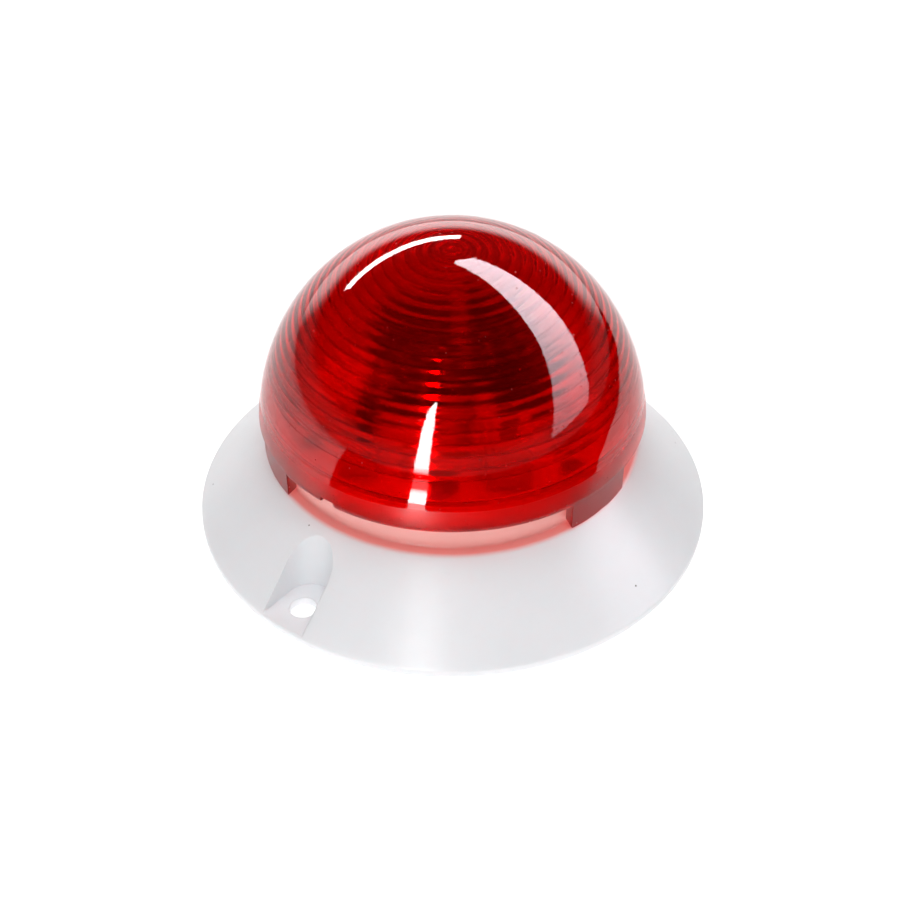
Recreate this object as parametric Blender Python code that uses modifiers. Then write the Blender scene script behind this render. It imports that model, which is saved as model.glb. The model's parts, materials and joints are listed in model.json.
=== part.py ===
"""Wall-mounted alarm beacon: a red ribbed lens on a white conical base, over its flash tube and board.

The origin is the centre of the base's flat back, +Z points out of the wall and -Y is the front.
"""

import math

import bmesh
import bpy
from mathutils import Matrix, Vector

# Driving dimensions, in metres.
GAP = 0.0003
ROUND = 64

BASE_RADIUS = 0.0500
LIP_TOP_RADIUS = 0.04965
LIP_HEIGHT = 0.0019
CONE_TOP_RADIUS = 0.0361
CONE_TOP_Z = 0.0160
SKIN = 0.0022
COLLAR_RADIUS = 0.0339
COLLAR_WALL = 0.0023
COLLAR_TOP_Z = 0.0255
FLOOR_TOP_Z = 0.0125
FLOOR_THICKNESS = 0.0020

POCKET_AZIMUTH = -38.6
POCKET_RADIUS = 0.00485
POCKET_CENTRE = 0.0423
POCKET_FLOOR_Z = 0.0018
POCKET_WALL = 0.0016
FIXING_HOLE_RADIUS = 0.00255
FIXING_HOLE_CENTRE = 0.0439

LENS_RADIUS = 0.0370
LENS_HEIGHT = 0.0382
LENS_CENTRE_Z = 0.0199
LENS_RIM_Z = 0.0224
LENS_CROWN_WALL = 0.0026
SKIRT_INNER_RADIUS = 0.0342
SEAT_RADIUS = 0.0332
SEAT_Z = 0.0270
TAB_INNER_RADIUS = 0.03445
TAB_OUTER_RADIUS = 0.0363
TAB_BOTTOM_Z = 0.0166
TAB_WIDTH_DEGREES = 23.5
TAB_AZIMUTHS = (47.8, 170.0, -68.2)
NOTCH_AZIMUTH = -36.4
NOTCH_WIDTH = 0.0040
NOTCH_DEPTH = 0.0011

BOARD_RADIUS = 0.0305
BOARD_BOTTOM_Z = 0.0170
BOARD_THICKNESS = 0.0016
BOARD_TOP_Z = BOARD_BOTTOM_Z + BOARD_THICKNESS
SEATED_Z = BOARD_TOP_Z + GAP
BOARD_SCREW_CIRCLE = 0.0270
BOARD_SCREW_ANGLES = (88.0, 195.0, 325.0)
CABLE_HOLE = (-0.0030, -0.0190)
CABLE_HOLE_RADIUS = 0.0045
GROMMET_HOLE_RADIUS = 0.0055

TUBE_CENTRE = Vector((0.0020, 0.0020, 0.0320))
TUBE_ANGLE = 24.0
TUBE_RADIUS = 0.0025
TUBE_LENGTH = 0.0300
CAP_LENGTH = 0.0032
CAP_RADIUS = 0.0028
LEAD_RADIUS = 0.0005
LEAD_REACH = 0.0013

TERMINAL_CENTRE = (0.0100, -0.0160)
TERMINAL_PITCH = 0.0050
TERMINAL_SIZE = (0.0080, 0.0104, 0.0110)

# Terminal block: each cage rises in its chamber as its screw is turned.
CHAMBER_BOTTOM_Z = SEATED_Z + 0.0013
CHAMBER_TOP_Z = SEATED_Z + 0.0079
CHAMBER_DEPTH = 0.0042
CHAMBER_WIDTH = 0.0040
CAGE_BOTTOM_Z = CHAMBER_BOTTOM_Z + GAP
CAGE_HEIGHT = 0.0044
CAGE_WIDTH = 0.0034
TERMINAL_SCREW_TIP_Z = SEATED_Z + 0.0045
TERMINAL_SCREW_SEAT_Z = SEATED_Z + 0.0084

PILLAR_RADIUS = 0.0032
PILOT_RADIUS = 0.0014
PILOT_BOTTOM_Z = 0.0131
BOARD_SCREW_HOLE_RADIUS = 0.0015
BOARD_SCREW_TIP_Z = 0.0136

TRIGGER_COIL_PLACE = (0.0000, -0.0075)
TRIGGER_COIL_TOP_Z = SEATED_Z + 0.0080
TRIGGER_TURNS = 4
TRIGGER_WIRE_RADIUS = 0.0002

INVERTER_PLACE = (-0.0080, 0.0160)
INVERTER_BOBBIN_SIZE = (0.0140, 0.0120, 0.0020)
INVERTER_CORE_SIZE = (0.0154, 0.0048, 0.0120)
CAPACITOR_PLACE = (0.0090, 0.0180)
CAPACITOR_RADIUS = 0.0060
CAPACITOR_HEIGHT = 0.0175
TRANSISTOR_PLACE = (0.0135, 0.0015)
TRANSISTOR_PIN_PITCH = 0.00127
FILM_CAPACITOR_PLACE = (0.0060, -0.0040)
FILM_CAPACITOR_SIZE = (0.0035, 0.0060, 0.0065)

# Resistor and diode bodies: length, radius and the distance between their legs.
RESISTOR_SIZE = (0.0050, 0.0011, 0.0078)
DIODE_SIZE = (0.0052, 0.0013, 0.0086)
GATE_RESISTOR_PLACE = (0.0115, -0.0060)
BLEED_RESISTOR_PLACE = (-0.0085, -0.0135)
DIODE_PLACE = (-0.0090, 0.0025)

SWITCH_PLACE = (0.0218, -0.0050)
SWITCH_SIZE = (0.0066, 0.0066, 0.0040)
SLIDER_SIZE = (0.0018, 0.0012, 0.0018)
SLIDER_LANE = 0.00135
SLIDER_TRAVEL = 0.0020

TRIMMER_PLACE = (-0.0170, -0.0140)
TRIMMER_SIZE = (0.0066, 0.0066, 0.0044)
TRIMMER_WELL_RADIUS = 0.0026
TRIMMER_ROTOR_RADIUS = 0.0022

SOUNDER_PLACE = (-0.0210, 0.0030)
SOUNDER_RADIUS = 0.0060
SOUNDER_INNER_RADIUS = 0.0054
SOUNDER_HEIGHT = 0.0085
SOUNDER_PORT_RADIUS = 0.0012

TAMPER_PLACE = (0.0150, 0.0110)
TAMPER_BODY = (0.0080, 0.0070)
PLUNGER_RADIUS = 0.0016
PLUNGER_GUIDE_RADIUS = 0.0034
PLUNGER_GUIDE_BOTTOM_Z = 0.0030

# Plastic, metal and glass finishes: colour, roughness, metallic.
FINISHES = {
    "white_abs": ((0.80, 0.80, 0.79), 0.35, 0.0),
    "red_lens": ((0.62, 0.0, 0.01), 0.08, 0.0),
    "pale_silicone": ((0.66, 0.64, 0.61), 0.6, 0.0),
    "black_rubber": ((0.02, 0.02, 0.02), 0.8, 0.0),
    "board_white": ((0.74, 0.74, 0.72), 0.4, 0.0),
    "clear_glass": ((0.85, 0.88, 0.90), 0.05, 0.0),
    "tinned_steel": ((0.62, 0.62, 0.60), 0.3, 1.0),
    "zinc_steel": ((0.55, 0.55, 0.53), 0.35, 1.0),
    "copper_winding": ((0.55, 0.22, 0.09), 0.4, 0.6),
    "winding_tape": ((0.10, 0.06, 0.03), 0.4, 0.0),
    "ferrite": ((0.05, 0.05, 0.055), 0.6, 0.0),
    "black_plastic": ((0.02, 0.02, 0.022), 0.4, 0.0),
    "sleeve_blue": ((0.015, 0.03, 0.11), 0.35, 0.0),
    "terminal_grey": ((0.56, 0.56, 0.54), 0.45, 0.0),
    "switch_red": ((0.55, 0.035, 0.03), 0.45, 0.0),
    "moulded_white": ((0.74, 0.74, 0.71), 0.45, 0.0),
    "trimmer_orange": ((0.70, 0.24, 0.04), 0.4, 0.0),
    "film_yellow": ((0.66, 0.40, 0.06), 0.5, 0.0),
    "resistor_tan": ((0.50, 0.36, 0.22), 0.5, 0.0),
    "brass_disc": ((0.65, 0.45, 0.16), 0.3, 1.0),
}


def clear_scene():
    for item in list(bpy.data.objects):
        bpy.data.objects.remove(item, do_unlink=True)


def make_collection(name):
    collection = bpy.data.collections.new(name)
    bpy.context.scene.collection.children.link(collection)
    return collection


def make_materials():
    for name, (colour, roughness, metallic) in FINISHES.items():
        material = bpy.data.materials.new(name)
        material.use_nodes = True
        shader = material.node_tree.nodes["Principled BSDF"]
        shader.inputs["Base Color"].default_value = (*colour, 1.0)
        shader.inputs["Roughness"].default_value = roughness
        shader.inputs["Metallic"].default_value = metallic


clear_scene()
PARTS = make_collection("alarm_beacon")
CUTTERS = make_collection("cutters")
make_materials()


# Helpers.
def around(azimuth, radius, z=0.0):
    """A point at an azimuth in degrees from the front (-Y), positive towards +X."""
    turn = math.radians(azimuth)
    return Vector((radius * math.sin(turn), -radius * math.cos(turn), z))


def polar(angle, radius, z=0.0):
    """A point at an angle in degrees from +X."""
    turn = math.radians(angle)
    return Vector((radius * math.cos(turn), radius * math.sin(turn), z))


def add_mesh(name, mesh, finish=None):
    """Links a new object: a part when it has a finish, and a hidden cutter otherwise."""
    item = bpy.data.objects.new(name, mesh)
    if finish:
        PARTS.objects.link(item)
        mesh.materials.append(bpy.data.materials[finish])
    else:
        CUTTERS.objects.link(item)
        item.hide_render = True
        item.display_type = "WIRE"
    return item


def turned(name, profile, finish=None, segments=ROUND, closed=False):
    """A lathed shape from (radius, z) points that run down the outer side."""
    mesh = bpy.data.meshes.new(name)
    count = len(profile)
    edges = [(step, step + 1) for step in range(count - 1)]
    if closed:
        edges.append((count - 1, 0))
    mesh.from_pydata([(radius, 0.0, z) for radius, z in profile], edges, [])
    item = add_mesh(name, mesh, finish)
    screw = item.modifiers.new("Turn", "SCREW")
    screw.steps = segments
    screw.render_steps = segments
    screw.use_smooth_shade = True
    screw.use_merge_vertices = True
    screw.merge_threshold = 0.00001
    return item


def cylinder(name, radius, bottom, top, place=(0.0, 0.0), finish=None, segments=24):
    shape = bmesh.new()
    bmesh.ops.create_cone(
        shape, cap_ends=True, segments=segments, radius1=radius, radius2=radius, depth=top - bottom
    )
    mesh = bpy.data.meshes.new(name)
    shape.to_mesh(mesh)
    shape.free()
    mesh.shade_smooth()
    mesh.set_sharp_from_angle(angle=math.radians(40))
    item = add_mesh(name, mesh, finish)
    item.location = (place[0], place[1], (bottom + top) / 2)
    return item


def block(name, size, centre, finish=None, bevel=0.0):
    shape = bmesh.new()
    bmesh.ops.create_cube(shape, size=1.0)
    bmesh.ops.scale(shape, vec=size, verts=shape.verts)
    mesh = bpy.data.meshes.new(name)
    shape.to_mesh(mesh)
    shape.free()
    item = add_mesh(name, mesh, finish)
    item.location = centre
    if bevel:
        edge = item.modifiers.new("Edge", "BEVEL")
        edge.width = bevel
        edge.segments = 2
    return item


def curve_to_mesh(curve_object, finish=None):
    """Replaces a curve object by a welded mesh object of the same shape and place."""
    bpy.context.view_layer.update()
    graph = bpy.context.evaluated_depsgraph_get()
    name = curve_object.name
    mesh = bpy.data.meshes.new_from_object(curve_object.evaluated_get(graph))
    shape = bmesh.new()
    shape.from_mesh(mesh)
    bmesh.ops.remove_doubles(shape, verts=shape.verts, dist=0.000001)
    bmesh.ops.recalc_face_normals(shape, faces=shape.faces)
    shape.to_mesh(mesh)
    shape.free()
    mesh.materials.clear()
    matrix = curve_object.matrix_world.copy()
    bpy.data.objects.remove(curve_object, do_unlink=True)
    item = add_mesh(name, mesh, finish)
    item.matrix_world = matrix
    return item


def plate(name, outline, bottom, top, finish=None):
    """A flat outline of (x, y) points, extruded between two heights."""
    curve = bpy.data.curves.new(name, "CURVE")
    curve.dimensions = "2D"
    curve.fill_mode = "BOTH"
    curve.extrude = (top - bottom) / 2
    spline = curve.splines.new("POLY")
    spline.points.add(len(outline) - 1)
    for point, (x, y) in zip(spline.points, outline):
        point.co = (x, y, 0.0, 1.0)
    spline.use_cyclic_u = True
    item = bpy.data.objects.new(name, curve)
    bpy.context.scene.collection.objects.link(item)
    item.location.z = (bottom + top) / 2
    return curve_to_mesh(item, finish)


def wire(name, points, radius, finish=None, resolution=2):
    """A round wire through the points, with filled ends."""
    curve = bpy.data.curves.new(name, "CURVE")
    curve.dimensions = "3D"
    curve.bevel_depth = radius
    curve.bevel_resolution = resolution
    curve.use_fill_caps = True
    spline = curve.splines.new("POLY")
    spline.points.add(len(points) - 1)
    for point, place in zip(spline.points, points):
        point.co = (*place, 1.0)
    item = bpy.data.objects.new(name, curve)
    bpy.context.scene.collection.objects.link(item)
    return curve_to_mesh(item, finish)


def boolean(item, tool, operation="DIFFERENCE"):
    modifier = item.modifiers.new(f"{operation.title()} {tool.name}"[:60], "BOOLEAN")
    modifier.operation = operation
    modifier.object = tool
    return item


def arc(centre, radius, start, end, steps):
    """Points on an arc, its angles in degrees from +X."""
    turns = [math.radians(start + (end - start) * step / steps) for step in range(steps + 1)]
    x, y = centre
    return [(x + radius * math.cos(turn), y + radius * math.sin(turn)) for turn in turns]


def turn_to(item, azimuth):
    """Swings a shape built along -Y to an azimuth around the Z axis."""
    item.matrix_world = Matrix.Rotation(math.radians(azimuth), 4, "Z") @ item.matrix_world
    return item


# White base: conical flange, collar for the lens, and a floor for the board.
def cone_radius(z):
    fall = (z - LIP_HEIGHT) / (CONE_TOP_Z - LIP_HEIGHT)
    return LIP_TOP_RADIUS + (CONE_TOP_RADIUS - LIP_TOP_RADIUS) * fall


def u_outline(radius, reach):
    """A U open towards -Y: a round inner end at POCKET_CENTRE and straight sides out to reach."""
    inner_end = arc((0.0, -POCKET_CENTRE), radius, 0.0, 180.0, 12)
    return inner_end + [(-radius, -reach), (radius, -reach)]


def base_profile():
    """The base's outer side, from the axis over the collar and down the cone to the back."""
    collar_inner = COLLAR_RADIUS - COLLAR_WALL
    ledge_z = CONE_TOP_Z + 0.0002
    fillet = 0.0010
    foot = [
        (COLLAR_RADIUS + fillet * (1 - math.cos(turn)), ledge_z + fillet * (1 - math.sin(turn)))
        for turn in (math.radians(step * 30) for step in range(4))
    ]
    shoulder = [
        (CONE_TOP_RADIUS - 0.0006, ledge_z),
        (CONE_TOP_RADIUS - 0.0001, ledge_z - 0.00015),
        (cone_radius(CONE_TOP_Z - 0.0006), CONE_TOP_Z - 0.0006),
    ]
    edge = 0.0003
    collar = [
        (collar_inner, COLLAR_TOP_Z - edge),
        (collar_inner + edge, COLLAR_TOP_Z),
        (COLLAR_RADIUS - edge, COLLAR_TOP_Z),
        (COLLAR_RADIUS, COLLAR_TOP_Z - edge),
    ]
    lip = [(LIP_TOP_RADIUS, LIP_HEIGHT), (BASE_RADIUS, LIP_HEIGHT - 0.0005), (BASE_RADIUS, 0.0)]
    floor = [(0.0, FLOOR_TOP_Z), (collar_inner, FLOOR_TOP_Z)]
    return floor + collar + foot + shoulder + lip + [(0.0, 0.0)]


def make_base():
    base = turned("base_housing", base_profile(), "white_abs")

    roof_z = FLOOR_TOP_Z - FLOOR_THICKNESS
    slope = (LIP_TOP_RADIUS - CONE_TOP_RADIUS) / (CONE_TOP_Z - LIP_HEIGHT)
    side_step = SKIN * math.sqrt(1 + slope * slope)
    hollow_profile = [
        (0.0, roof_z),
        (cone_radius(roof_z) - side_step, roof_z),
        (cone_radius(LIP_HEIGHT) - side_step, LIP_HEIGHT),
        (cone_radius(LIP_HEIGHT) - side_step, -0.001),
        (0.0, -0.001),
    ]
    hollow = turned("underside_hollow", hollow_profile)
    hollow.rotation_euler.z = math.radians(180 / ROUND)
    reach = BASE_RADIUS + 0.01
    for side, azimuth in enumerate((POCKET_AZIMUTH, POCKET_AZIMUTH + 180.0)):
        outline = u_outline(POCKET_RADIUS + POCKET_WALL, reach)
        wall = plate(f"pocket_wall_{side}", outline, -0.002, 0.02)
        boolean(hollow, turn_to(wall, azimuth))
    sunk = FLOOR_TOP_Z - 0.001
    for index, angle in enumerate(BOARD_SCREW_ANGLES):
        spot = polar(angle, BOARD_SCREW_CIRCLE)
        pillar = cylinder(f"pillar_{index}", PILLAR_RADIUS, sunk, BOARD_BOTTOM_Z - GAP, spot)
        boolean(base, pillar, "UNION")
    guide = cylinder("plunger_guide", PLUNGER_GUIDE_RADIUS, PLUNGER_GUIDE_BOTTOM_Z, sunk, TAMPER_PLACE)
    boolean(base, hollow)
    boolean(base, guide, "UNION")

    for side, azimuth in enumerate((POCKET_AZIMUTH, POCKET_AZIMUTH + 180.0)):
        pocket = plate(f"screw_pocket_{side}", u_outline(POCKET_RADIUS, reach), POCKET_FLOOR_Z, 0.03)
        boolean(base, turn_to(pocket, azimuth))
        spot = around(azimuth, FIXING_HOLE_CENTRE)
        boolean(base, cylinder(f"fixing_hole_{side}", FIXING_HOLE_RADIUS, -0.001, 0.004, spot))
    for index, angle in enumerate(BOARD_SCREW_ANGLES):
        spot = polar(angle, BOARD_SCREW_CIRCLE)
        pilot = cylinder(f"pilot_{index}", PILOT_RADIUS, PILOT_BOTTOM_Z, 0.02, spot, segments=16)
        boolean(base, pilot)
    boolean(base, cylinder("cable_entry", GROMMET_HOLE_RADIUS, 0.009, 0.014, CABLE_HOLE))
    boolean(base, cylinder("plunger_bore", PLUNGER_RADIUS + GAP, -0.001, 0.014, TAMPER_PLACE))
    return base


# Red lens: one moulding with three tabs and a notch for prising it off.
def ellipse_arc(radius, height, z_from, z_to, steps):
    """Points on the lens's ellipse between two heights, evenly spaced by angle."""
    start = math.asin((z_from - LENS_CENTRE_Z) / height)
    end = math.asin((z_to - LENS_CENTRE_Z) / height)
    turns = [start + (end - start) * step / steps for step in range(steps + 1)]
    return [(radius * math.cos(turn), LENS_CENTRE_Z + height * math.sin(turn)) for turn in turns]


def sector(inner, outer, azimuth, width):
    """A ring sector centred on an azimuth."""
    middle = azimuth - 90.0
    start, end = middle - width / 2, middle + width / 2
    return arc((0, 0), outer, start, end, 8) + arc((0, 0), inner, end, start, 8)


def make_lens():
    crown = LENS_CENTRE_Z + LENS_HEIGHT
    inner_height = LENS_HEIGHT - LENS_CROWN_WALL
    inner_radius = SEAT_RADIUS / math.cos(math.asin((SEAT_Z - LENS_CENTRE_Z) / inner_height))
    outside = ellipse_arc(LENS_RADIUS, LENS_HEIGHT, crown, LENS_RIM_Z + 0.0004, 16)
    inside = ellipse_arc(inner_radius, inner_height, SEAT_Z, LENS_CENTRE_Z + inner_height, 14)
    outside[0] = (0.0, crown)
    inside[-1] = (0.0, LENS_CENTRE_Z + inner_height)
    rim = [(outside[-1][0] - 0.0004, LENS_RIM_Z), (SKIRT_INNER_RADIUS, LENS_RIM_Z)]
    skirt = [(SKIRT_INNER_RADIUS, SEAT_Z)]
    lens = turned("lens_dome", outside + rim + skirt + inside, "red_lens")
    for index, azimuth in enumerate(TAB_AZIMUTHS):
        outline = sector(TAB_INNER_RADIUS, TAB_OUTER_RADIUS, azimuth, TAB_WIDTH_DEGREES)
        tab = plate(f"tab_{index}", outline, TAB_BOTTOM_Z, LENS_RIM_Z + 0.0008)
        boolean(lens, tab, "UNION")
    notch = block("prise_notch", (NOTCH_WIDTH, 0.006, 0.004), (0.0, 0.0, 0.0))
    notch.location = around(NOTCH_AZIMUTH, 0.0360, LENS_RIM_Z + NOTCH_DEPTH - 0.002)
    notch.rotation_euler.z = math.radians(NOTCH_AZIMUTH)
    return boolean(lens, notch)


def make_seal():
    bottom, top = COLLAR_TOP_Z + GAP, SEAT_Z - GAP
    inner, outer, edge = 0.0322, 0.0339, 0.0002
    profile = [
        (inner + edge, top),
        (outer - edge, top),
        (outer, top - edge),
        (outer, bottom + edge),
        (outer - edge, bottom),
        (inner + edge, bottom),
        (inner, bottom + edge),
        (inner, top - edge),
    ]
    return turned("lens_seal", profile, "pale_silicone", closed=True)


def make_grommet():
    inner, neck, flange = 0.0034, GROMMET_HOLE_RADIUS - GAP, GROMMET_HOLE_RADIUS + 0.0012
    floor_bottom = FLOOR_TOP_Z - FLOOR_THICKNESS
    profile = [
        (inner, FLOOR_TOP_Z + 0.0012),
        (flange - 0.0004, FLOOR_TOP_Z + 0.0012),
        (flange, FLOOR_TOP_Z + 0.0008),
        (flange, FLOOR_TOP_Z + GAP),
        (neck, FLOOR_TOP_Z + GAP),
        (neck, floor_bottom - GAP),
        (flange, floor_bottom - GAP),
        (flange, floor_bottom - 0.0008),
        (flange - 0.0004, floor_bottom - 0.0012),
        (inner, floor_bottom - 0.0012),
    ]
    grommet = turned("cable_grommet", profile, "pale_silicone", segments=24, closed=True)
    grommet.location = (*CABLE_HOLE, 0.0)
    return grommet


# Driver board and its screws.
def lead_ends():
    """Where the flash tube's leads turn down, at its left and its right."""
    reach = TUBE_LENGTH / 2 + CAP_LENGTH + LEAD_REACH
    return [TUBE_CENTRE + polar(TUBE_ANGLE, reach * side) for side in (-1, 1)]


def make_board():
    board = cylinder(
        "circuit_board", BOARD_RADIUS, BOARD_BOTTOM_Z, BOARD_TOP_Z, finish="board_white", segments=48
    )
    below, above = BOARD_BOTTOM_Z - 0.001, BOARD_TOP_Z + 0.0014
    boolean(board, cylinder("board_cable_hole", CABLE_HOLE_RADIUS, below, above, CABLE_HOLE))
    for index, angle in enumerate(BOARD_SCREW_ANGLES):
        spot = polar(angle, BOARD_SCREW_CIRCLE)
        hole = cylinder(f"board_hole_{index}", BOARD_SCREW_HOLE_RADIUS, below, above, spot, segments=16)
        boolean(board, hole)
    for side, end in enumerate(lead_ends()):
        hole = cylinder(f"lead_hole_{side}", LEAD_RADIUS + GAP, below, above, end, segments=12)
        boolean(board, hole)
    return board


def cross_recess(name, width, length, bottom, top, place):
    """Two crossed slots, as one cutter."""
    centre = (place[0], place[1], (bottom + top) / 2)
    first = block(f"{name}_a", (length, width, top - bottom), centre)
    second = block(f"{name}_b", (width, length, top - bottom), centre)
    return first, second


def make_board_screws():
    head, shank = 0.0024, 0.0010
    recess_bottom, recess_top = SEATED_Z + 0.0008, SEATED_Z + 0.0030
    for index, angle in enumerate(BOARD_SCREW_ANGLES):
        spot = polar(angle, BOARD_SCREW_CIRCLE)
        profile = [
            (0.0, SEATED_Z + 0.0017),
            (head * 0.6, SEATED_Z + 0.0015),
            (head, SEATED_Z + 0.0008),
            (head, SEATED_Z),
            (shank, SEATED_Z),
            (shank, BOARD_SCREW_TIP_Z + 0.0006),
            (0.0, BOARD_SCREW_TIP_Z),
        ]
        screw = turned(f"board_screw_{index + 1}", profile, "zinc_steel", segments=16)
        screw.location = (spot.x, spot.y, 0.0)
        for slot in cross_recess(f"recess_{index}", 0.0006, 0.0026, recess_bottom, recess_top, spot):
            boolean(screw, slot)


# Xenon flash tube on its two leads.
def make_flash_tube():
    angle = math.radians(TUBE_ANGLE)
    lay_down = Matrix.Rotation(angle, 4, "Z") @ Matrix.Rotation(math.radians(90), 4, "Y")
    half = TUBE_LENGTH / 2
    rim = 0.0006
    glass = [(0.0, half), (TUBE_RADIUS - rim, half), (TUBE_RADIUS, half - rim)]
    glass += [(TUBE_RADIUS, rim - half), (TUBE_RADIUS - rim, -half), (0.0, -half)]
    tube = turned("flash_tube", glass, "clear_glass", segments=20)
    tube.matrix_world = Matrix.Translation(TUBE_CENTRE) @ lay_down
    for side, name in ((-1, "left"), (1, "right")):
        near, far = half + GAP, half + CAP_LENGTH
        bore = LEAD_RADIUS + GAP
        cap = [(bore, far), (0.0020, far), (CAP_RADIUS, far - 0.0006), (CAP_RADIUS, near), (bore, near)]
        end_cap = turned(f"tube_cap_{name}", cap, "tinned_steel", segments=20, closed=True)
        flip = Matrix.Rotation(0.0 if side > 0 else math.pi, 4, "Y")
        end_cap.matrix_world = Matrix.Translation(TUBE_CENTRE) @ lay_down @ flip


def make_leads():
    along = polar(TUBE_ANGLE, 1.0)
    bend = 0.0010
    for side, name, corner in zip((-1, 1), ("left", "right"), lead_ends()):
        start = TUBE_CENTRE + along * side * (TUBE_LENGTH / 2 + 2 * GAP)
        points = [start, corner - along * side * bend]
        for step in range(1, 4):
            turn = math.radians(90 * step / 4)
            reach = bend * (1 - math.sin(turn))
            drop = bend * (1 - math.cos(turn))
            points.append(corner - along * side * reach - Vector((0, 0, drop)))
        points.append(corner - Vector((0, 0, bend)))
        points.append(Vector((corner.x, corner.y, BOARD_BOTTOM_Z - 0.0008)))
        wire(f"tube_lead_{name}", points, LEAD_RADIUS, "tinned_steel")
        inner, outer = LEAD_RADIUS + GAP, 0.0016
        top, bottom = TUBE_CENTRE.z - 0.0032, SEATED_Z
        ring = [(inner, top), (outer, top), (outer, bottom), (inner, bottom)]
        sleeve = turned(f"lead_sleeve_{name}", ring, "black_rubber", segments=14, closed=True)
        sleeve.location = (corner.x, corner.y, 0.0)


def make_trigger_coil():
    flange, winding, top, bottom = 0.0036, 0.0031, TRIGGER_COIL_TOP_Z, SEATED_Z
    profile = [
        (0.0, top),
        (flange, top),
        (flange, top - 0.0010),
        (winding, top - 0.0010),
        (winding, bottom + 0.0012),
        (flange, bottom + 0.0012),
        (flange, bottom),
        (0.0, bottom),
    ]
    coil = turned("trigger_coil", profile, "copper_winding", segments=20)
    coil.location = (*TRIGGER_COIL_PLACE, 0.0)


def make_trigger_wire():
    """A thin wire wound round the glass, running down beside the coil."""
    along = polar(TUBE_ANGLE, 1.0)
    across = polar(TUBE_ANGLE + 90.0, 1.0)
    up = Vector((0.0, 0.0, 1.0))
    reach = TUBE_RADIUS + GAP + TRIGGER_WIRE_RADIUS
    wound_length = 0.0180
    steps = 12 * TRIGGER_TURNS
    points = []
    for step in range(steps + 1):
        turn = 2 * math.pi * step / 12
        offset = wound_length * (step / steps - 0.5)
        spoke = across * reach * math.cos(turn) + up * reach * math.sin(turn)
        points.append(TUBE_CENTRE + along * offset - spoke)
    first = points[0]
    coil_x, coil_y = TRIGGER_COIL_PLACE
    foot = Vector((coil_x - 0.0045, coil_y - 0.0010, SEATED_Z))
    middle = Vector((first.x - 0.0002, first.y - 0.0006, first.z - 0.0030))
    lead = [foot, foot + up * 0.0030, (foot + middle) / 2 + up * 0.0010, middle, first + up * -0.0010]
    wire("trigger_wire", lead + points, TRIGGER_WIRE_RADIUS, "copper_winding")


# Driver electronics.
def make_inverter():
    x, y = INVERTER_PLACE
    bobbin_height = INVERTER_BOBBIN_SIZE[2]
    bobbin_middle = (x, y, SEATED_Z + bobbin_height / 2)
    bobbin = block("inverter_bobbin", INVERTER_BOBBIN_SIZE, bobbin_middle, "black_plastic", 0.0003)
    core_width, core_depth, core_height = INVERTER_CORE_SIZE
    leg, limb, window_height = 0.0018, 0.0026, 0.0074
    middle = SEATED_Z + bobbin_height + GAP + core_height / 2
    core = block("inverter_core", INVERTER_CORE_SIZE, (x, y, middle), "ferrite", 0.0003)
    window = core_width / 2 - limb - leg
    for side in (-1, 1):
        centre = x + side * (leg + window / 2)
        opening = block(f"core_window_{side + 1}", (window, 0.010, window_height), (centre, y, middle))
        boolean(core, opening)
    coil_size = (2 * (leg + window - GAP), 0.0116, 0.0068)
    coil = block("inverter_winding", coil_size, (x, y, middle), "winding_tape", 0.0006)
    bore_size = (2 * (leg + GAP), core_depth + 2 * GAP, 0.02)
    boolean(coil, block("winding_bore", bore_size, (x, y, middle)))
    return bobbin, core, coil


def make_storage_capacitor():
    radius, edge = CAPACITOR_RADIUS, 0.0007
    top = SEATED_Z + CAPACITOR_HEIGHT
    profile = [
        (0.0, top - 0.0003),
        (radius - 0.0012, top - 0.0003),
        (radius - 0.0010, top),
        (radius - edge / 2, top - 0.0001),
        (radius, top - edge),
        (radius, SEATED_Z + 0.0030),
        (radius - 0.0005, SEATED_Z + 0.0024),
        (radius, SEATED_Z + 0.0018),
        (radius, SEATED_Z + 0.0004),
        (radius - 0.0004, SEATED_Z),
        (0.0, SEATED_Z),
    ]
    can = turned("storage_capacitor", profile, "sleeve_blue", segments=28)
    can.location = (*CAPACITOR_PLACE, 0.0)


def make_axial(name, place, angle, size, finish):
    """A resistor or diode lying on the board, its bent wire ends joined to its body."""
    length, radius, span = size
    raised = SEATED_Z + radius
    half = length / 2
    body_profile = [
        (0.0, half),
        (radius * 0.8, half),
        (radius, half - radius * 0.4),
        (radius, radius * 0.4 - half),
        (radius * 0.8, -half),
        (0.0, -half),
    ]
    body = turned(name, body_profile, finish, segments=16)
    along = Matrix.Rotation(math.radians(angle), 4, "Z") @ Matrix.Rotation(math.radians(90), 4, "Y")
    body.matrix_world = Matrix.Translation((place[0], place[1], raised)) @ along
    direction = polar(angle, 1.0)
    middle = Vector((place[0], place[1], raised))
    down = Vector((0.0, 0.0, SEATED_Z - raised))
    ends = [middle + direction * side * span / 2 for side in (-1, 1)]
    inset = direction * 0.0006
    path = [ends[0] + down, ends[0] + down * 0.4, ends[0] + inset, ends[1] - inset, ends[1] + down * 0.4]
    legs = wire(f"{name}_legs", path + [ends[1] + down], 0.0003)
    return boolean(body, legs, "UNION")


def make_transistor():
    x, y = TRANSISTOR_PLACE
    radius, flat = 0.0024, -0.0014
    cut = math.degrees(math.asin(flat / radius))
    outline = [(x + px, y + py) for px, py in arc((0, 0), radius, cut, 180 - cut, 12)]
    body = plate("switching_transistor", outline, SEATED_Z + 0.0022, SEATED_Z + 0.0070, "black_plastic")
    pin_size = (0.0005, 0.0005, 0.0034)
    for pin in (-1, 0, 1):
        spot = (x + pin * TRANSISTOR_PIN_PITCH, y, SEATED_Z + pin_size[2] / 2)
        boolean(body, block(f"transistor_pin_{pin + 1}", pin_size, spot), "UNION")
    return body


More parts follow.
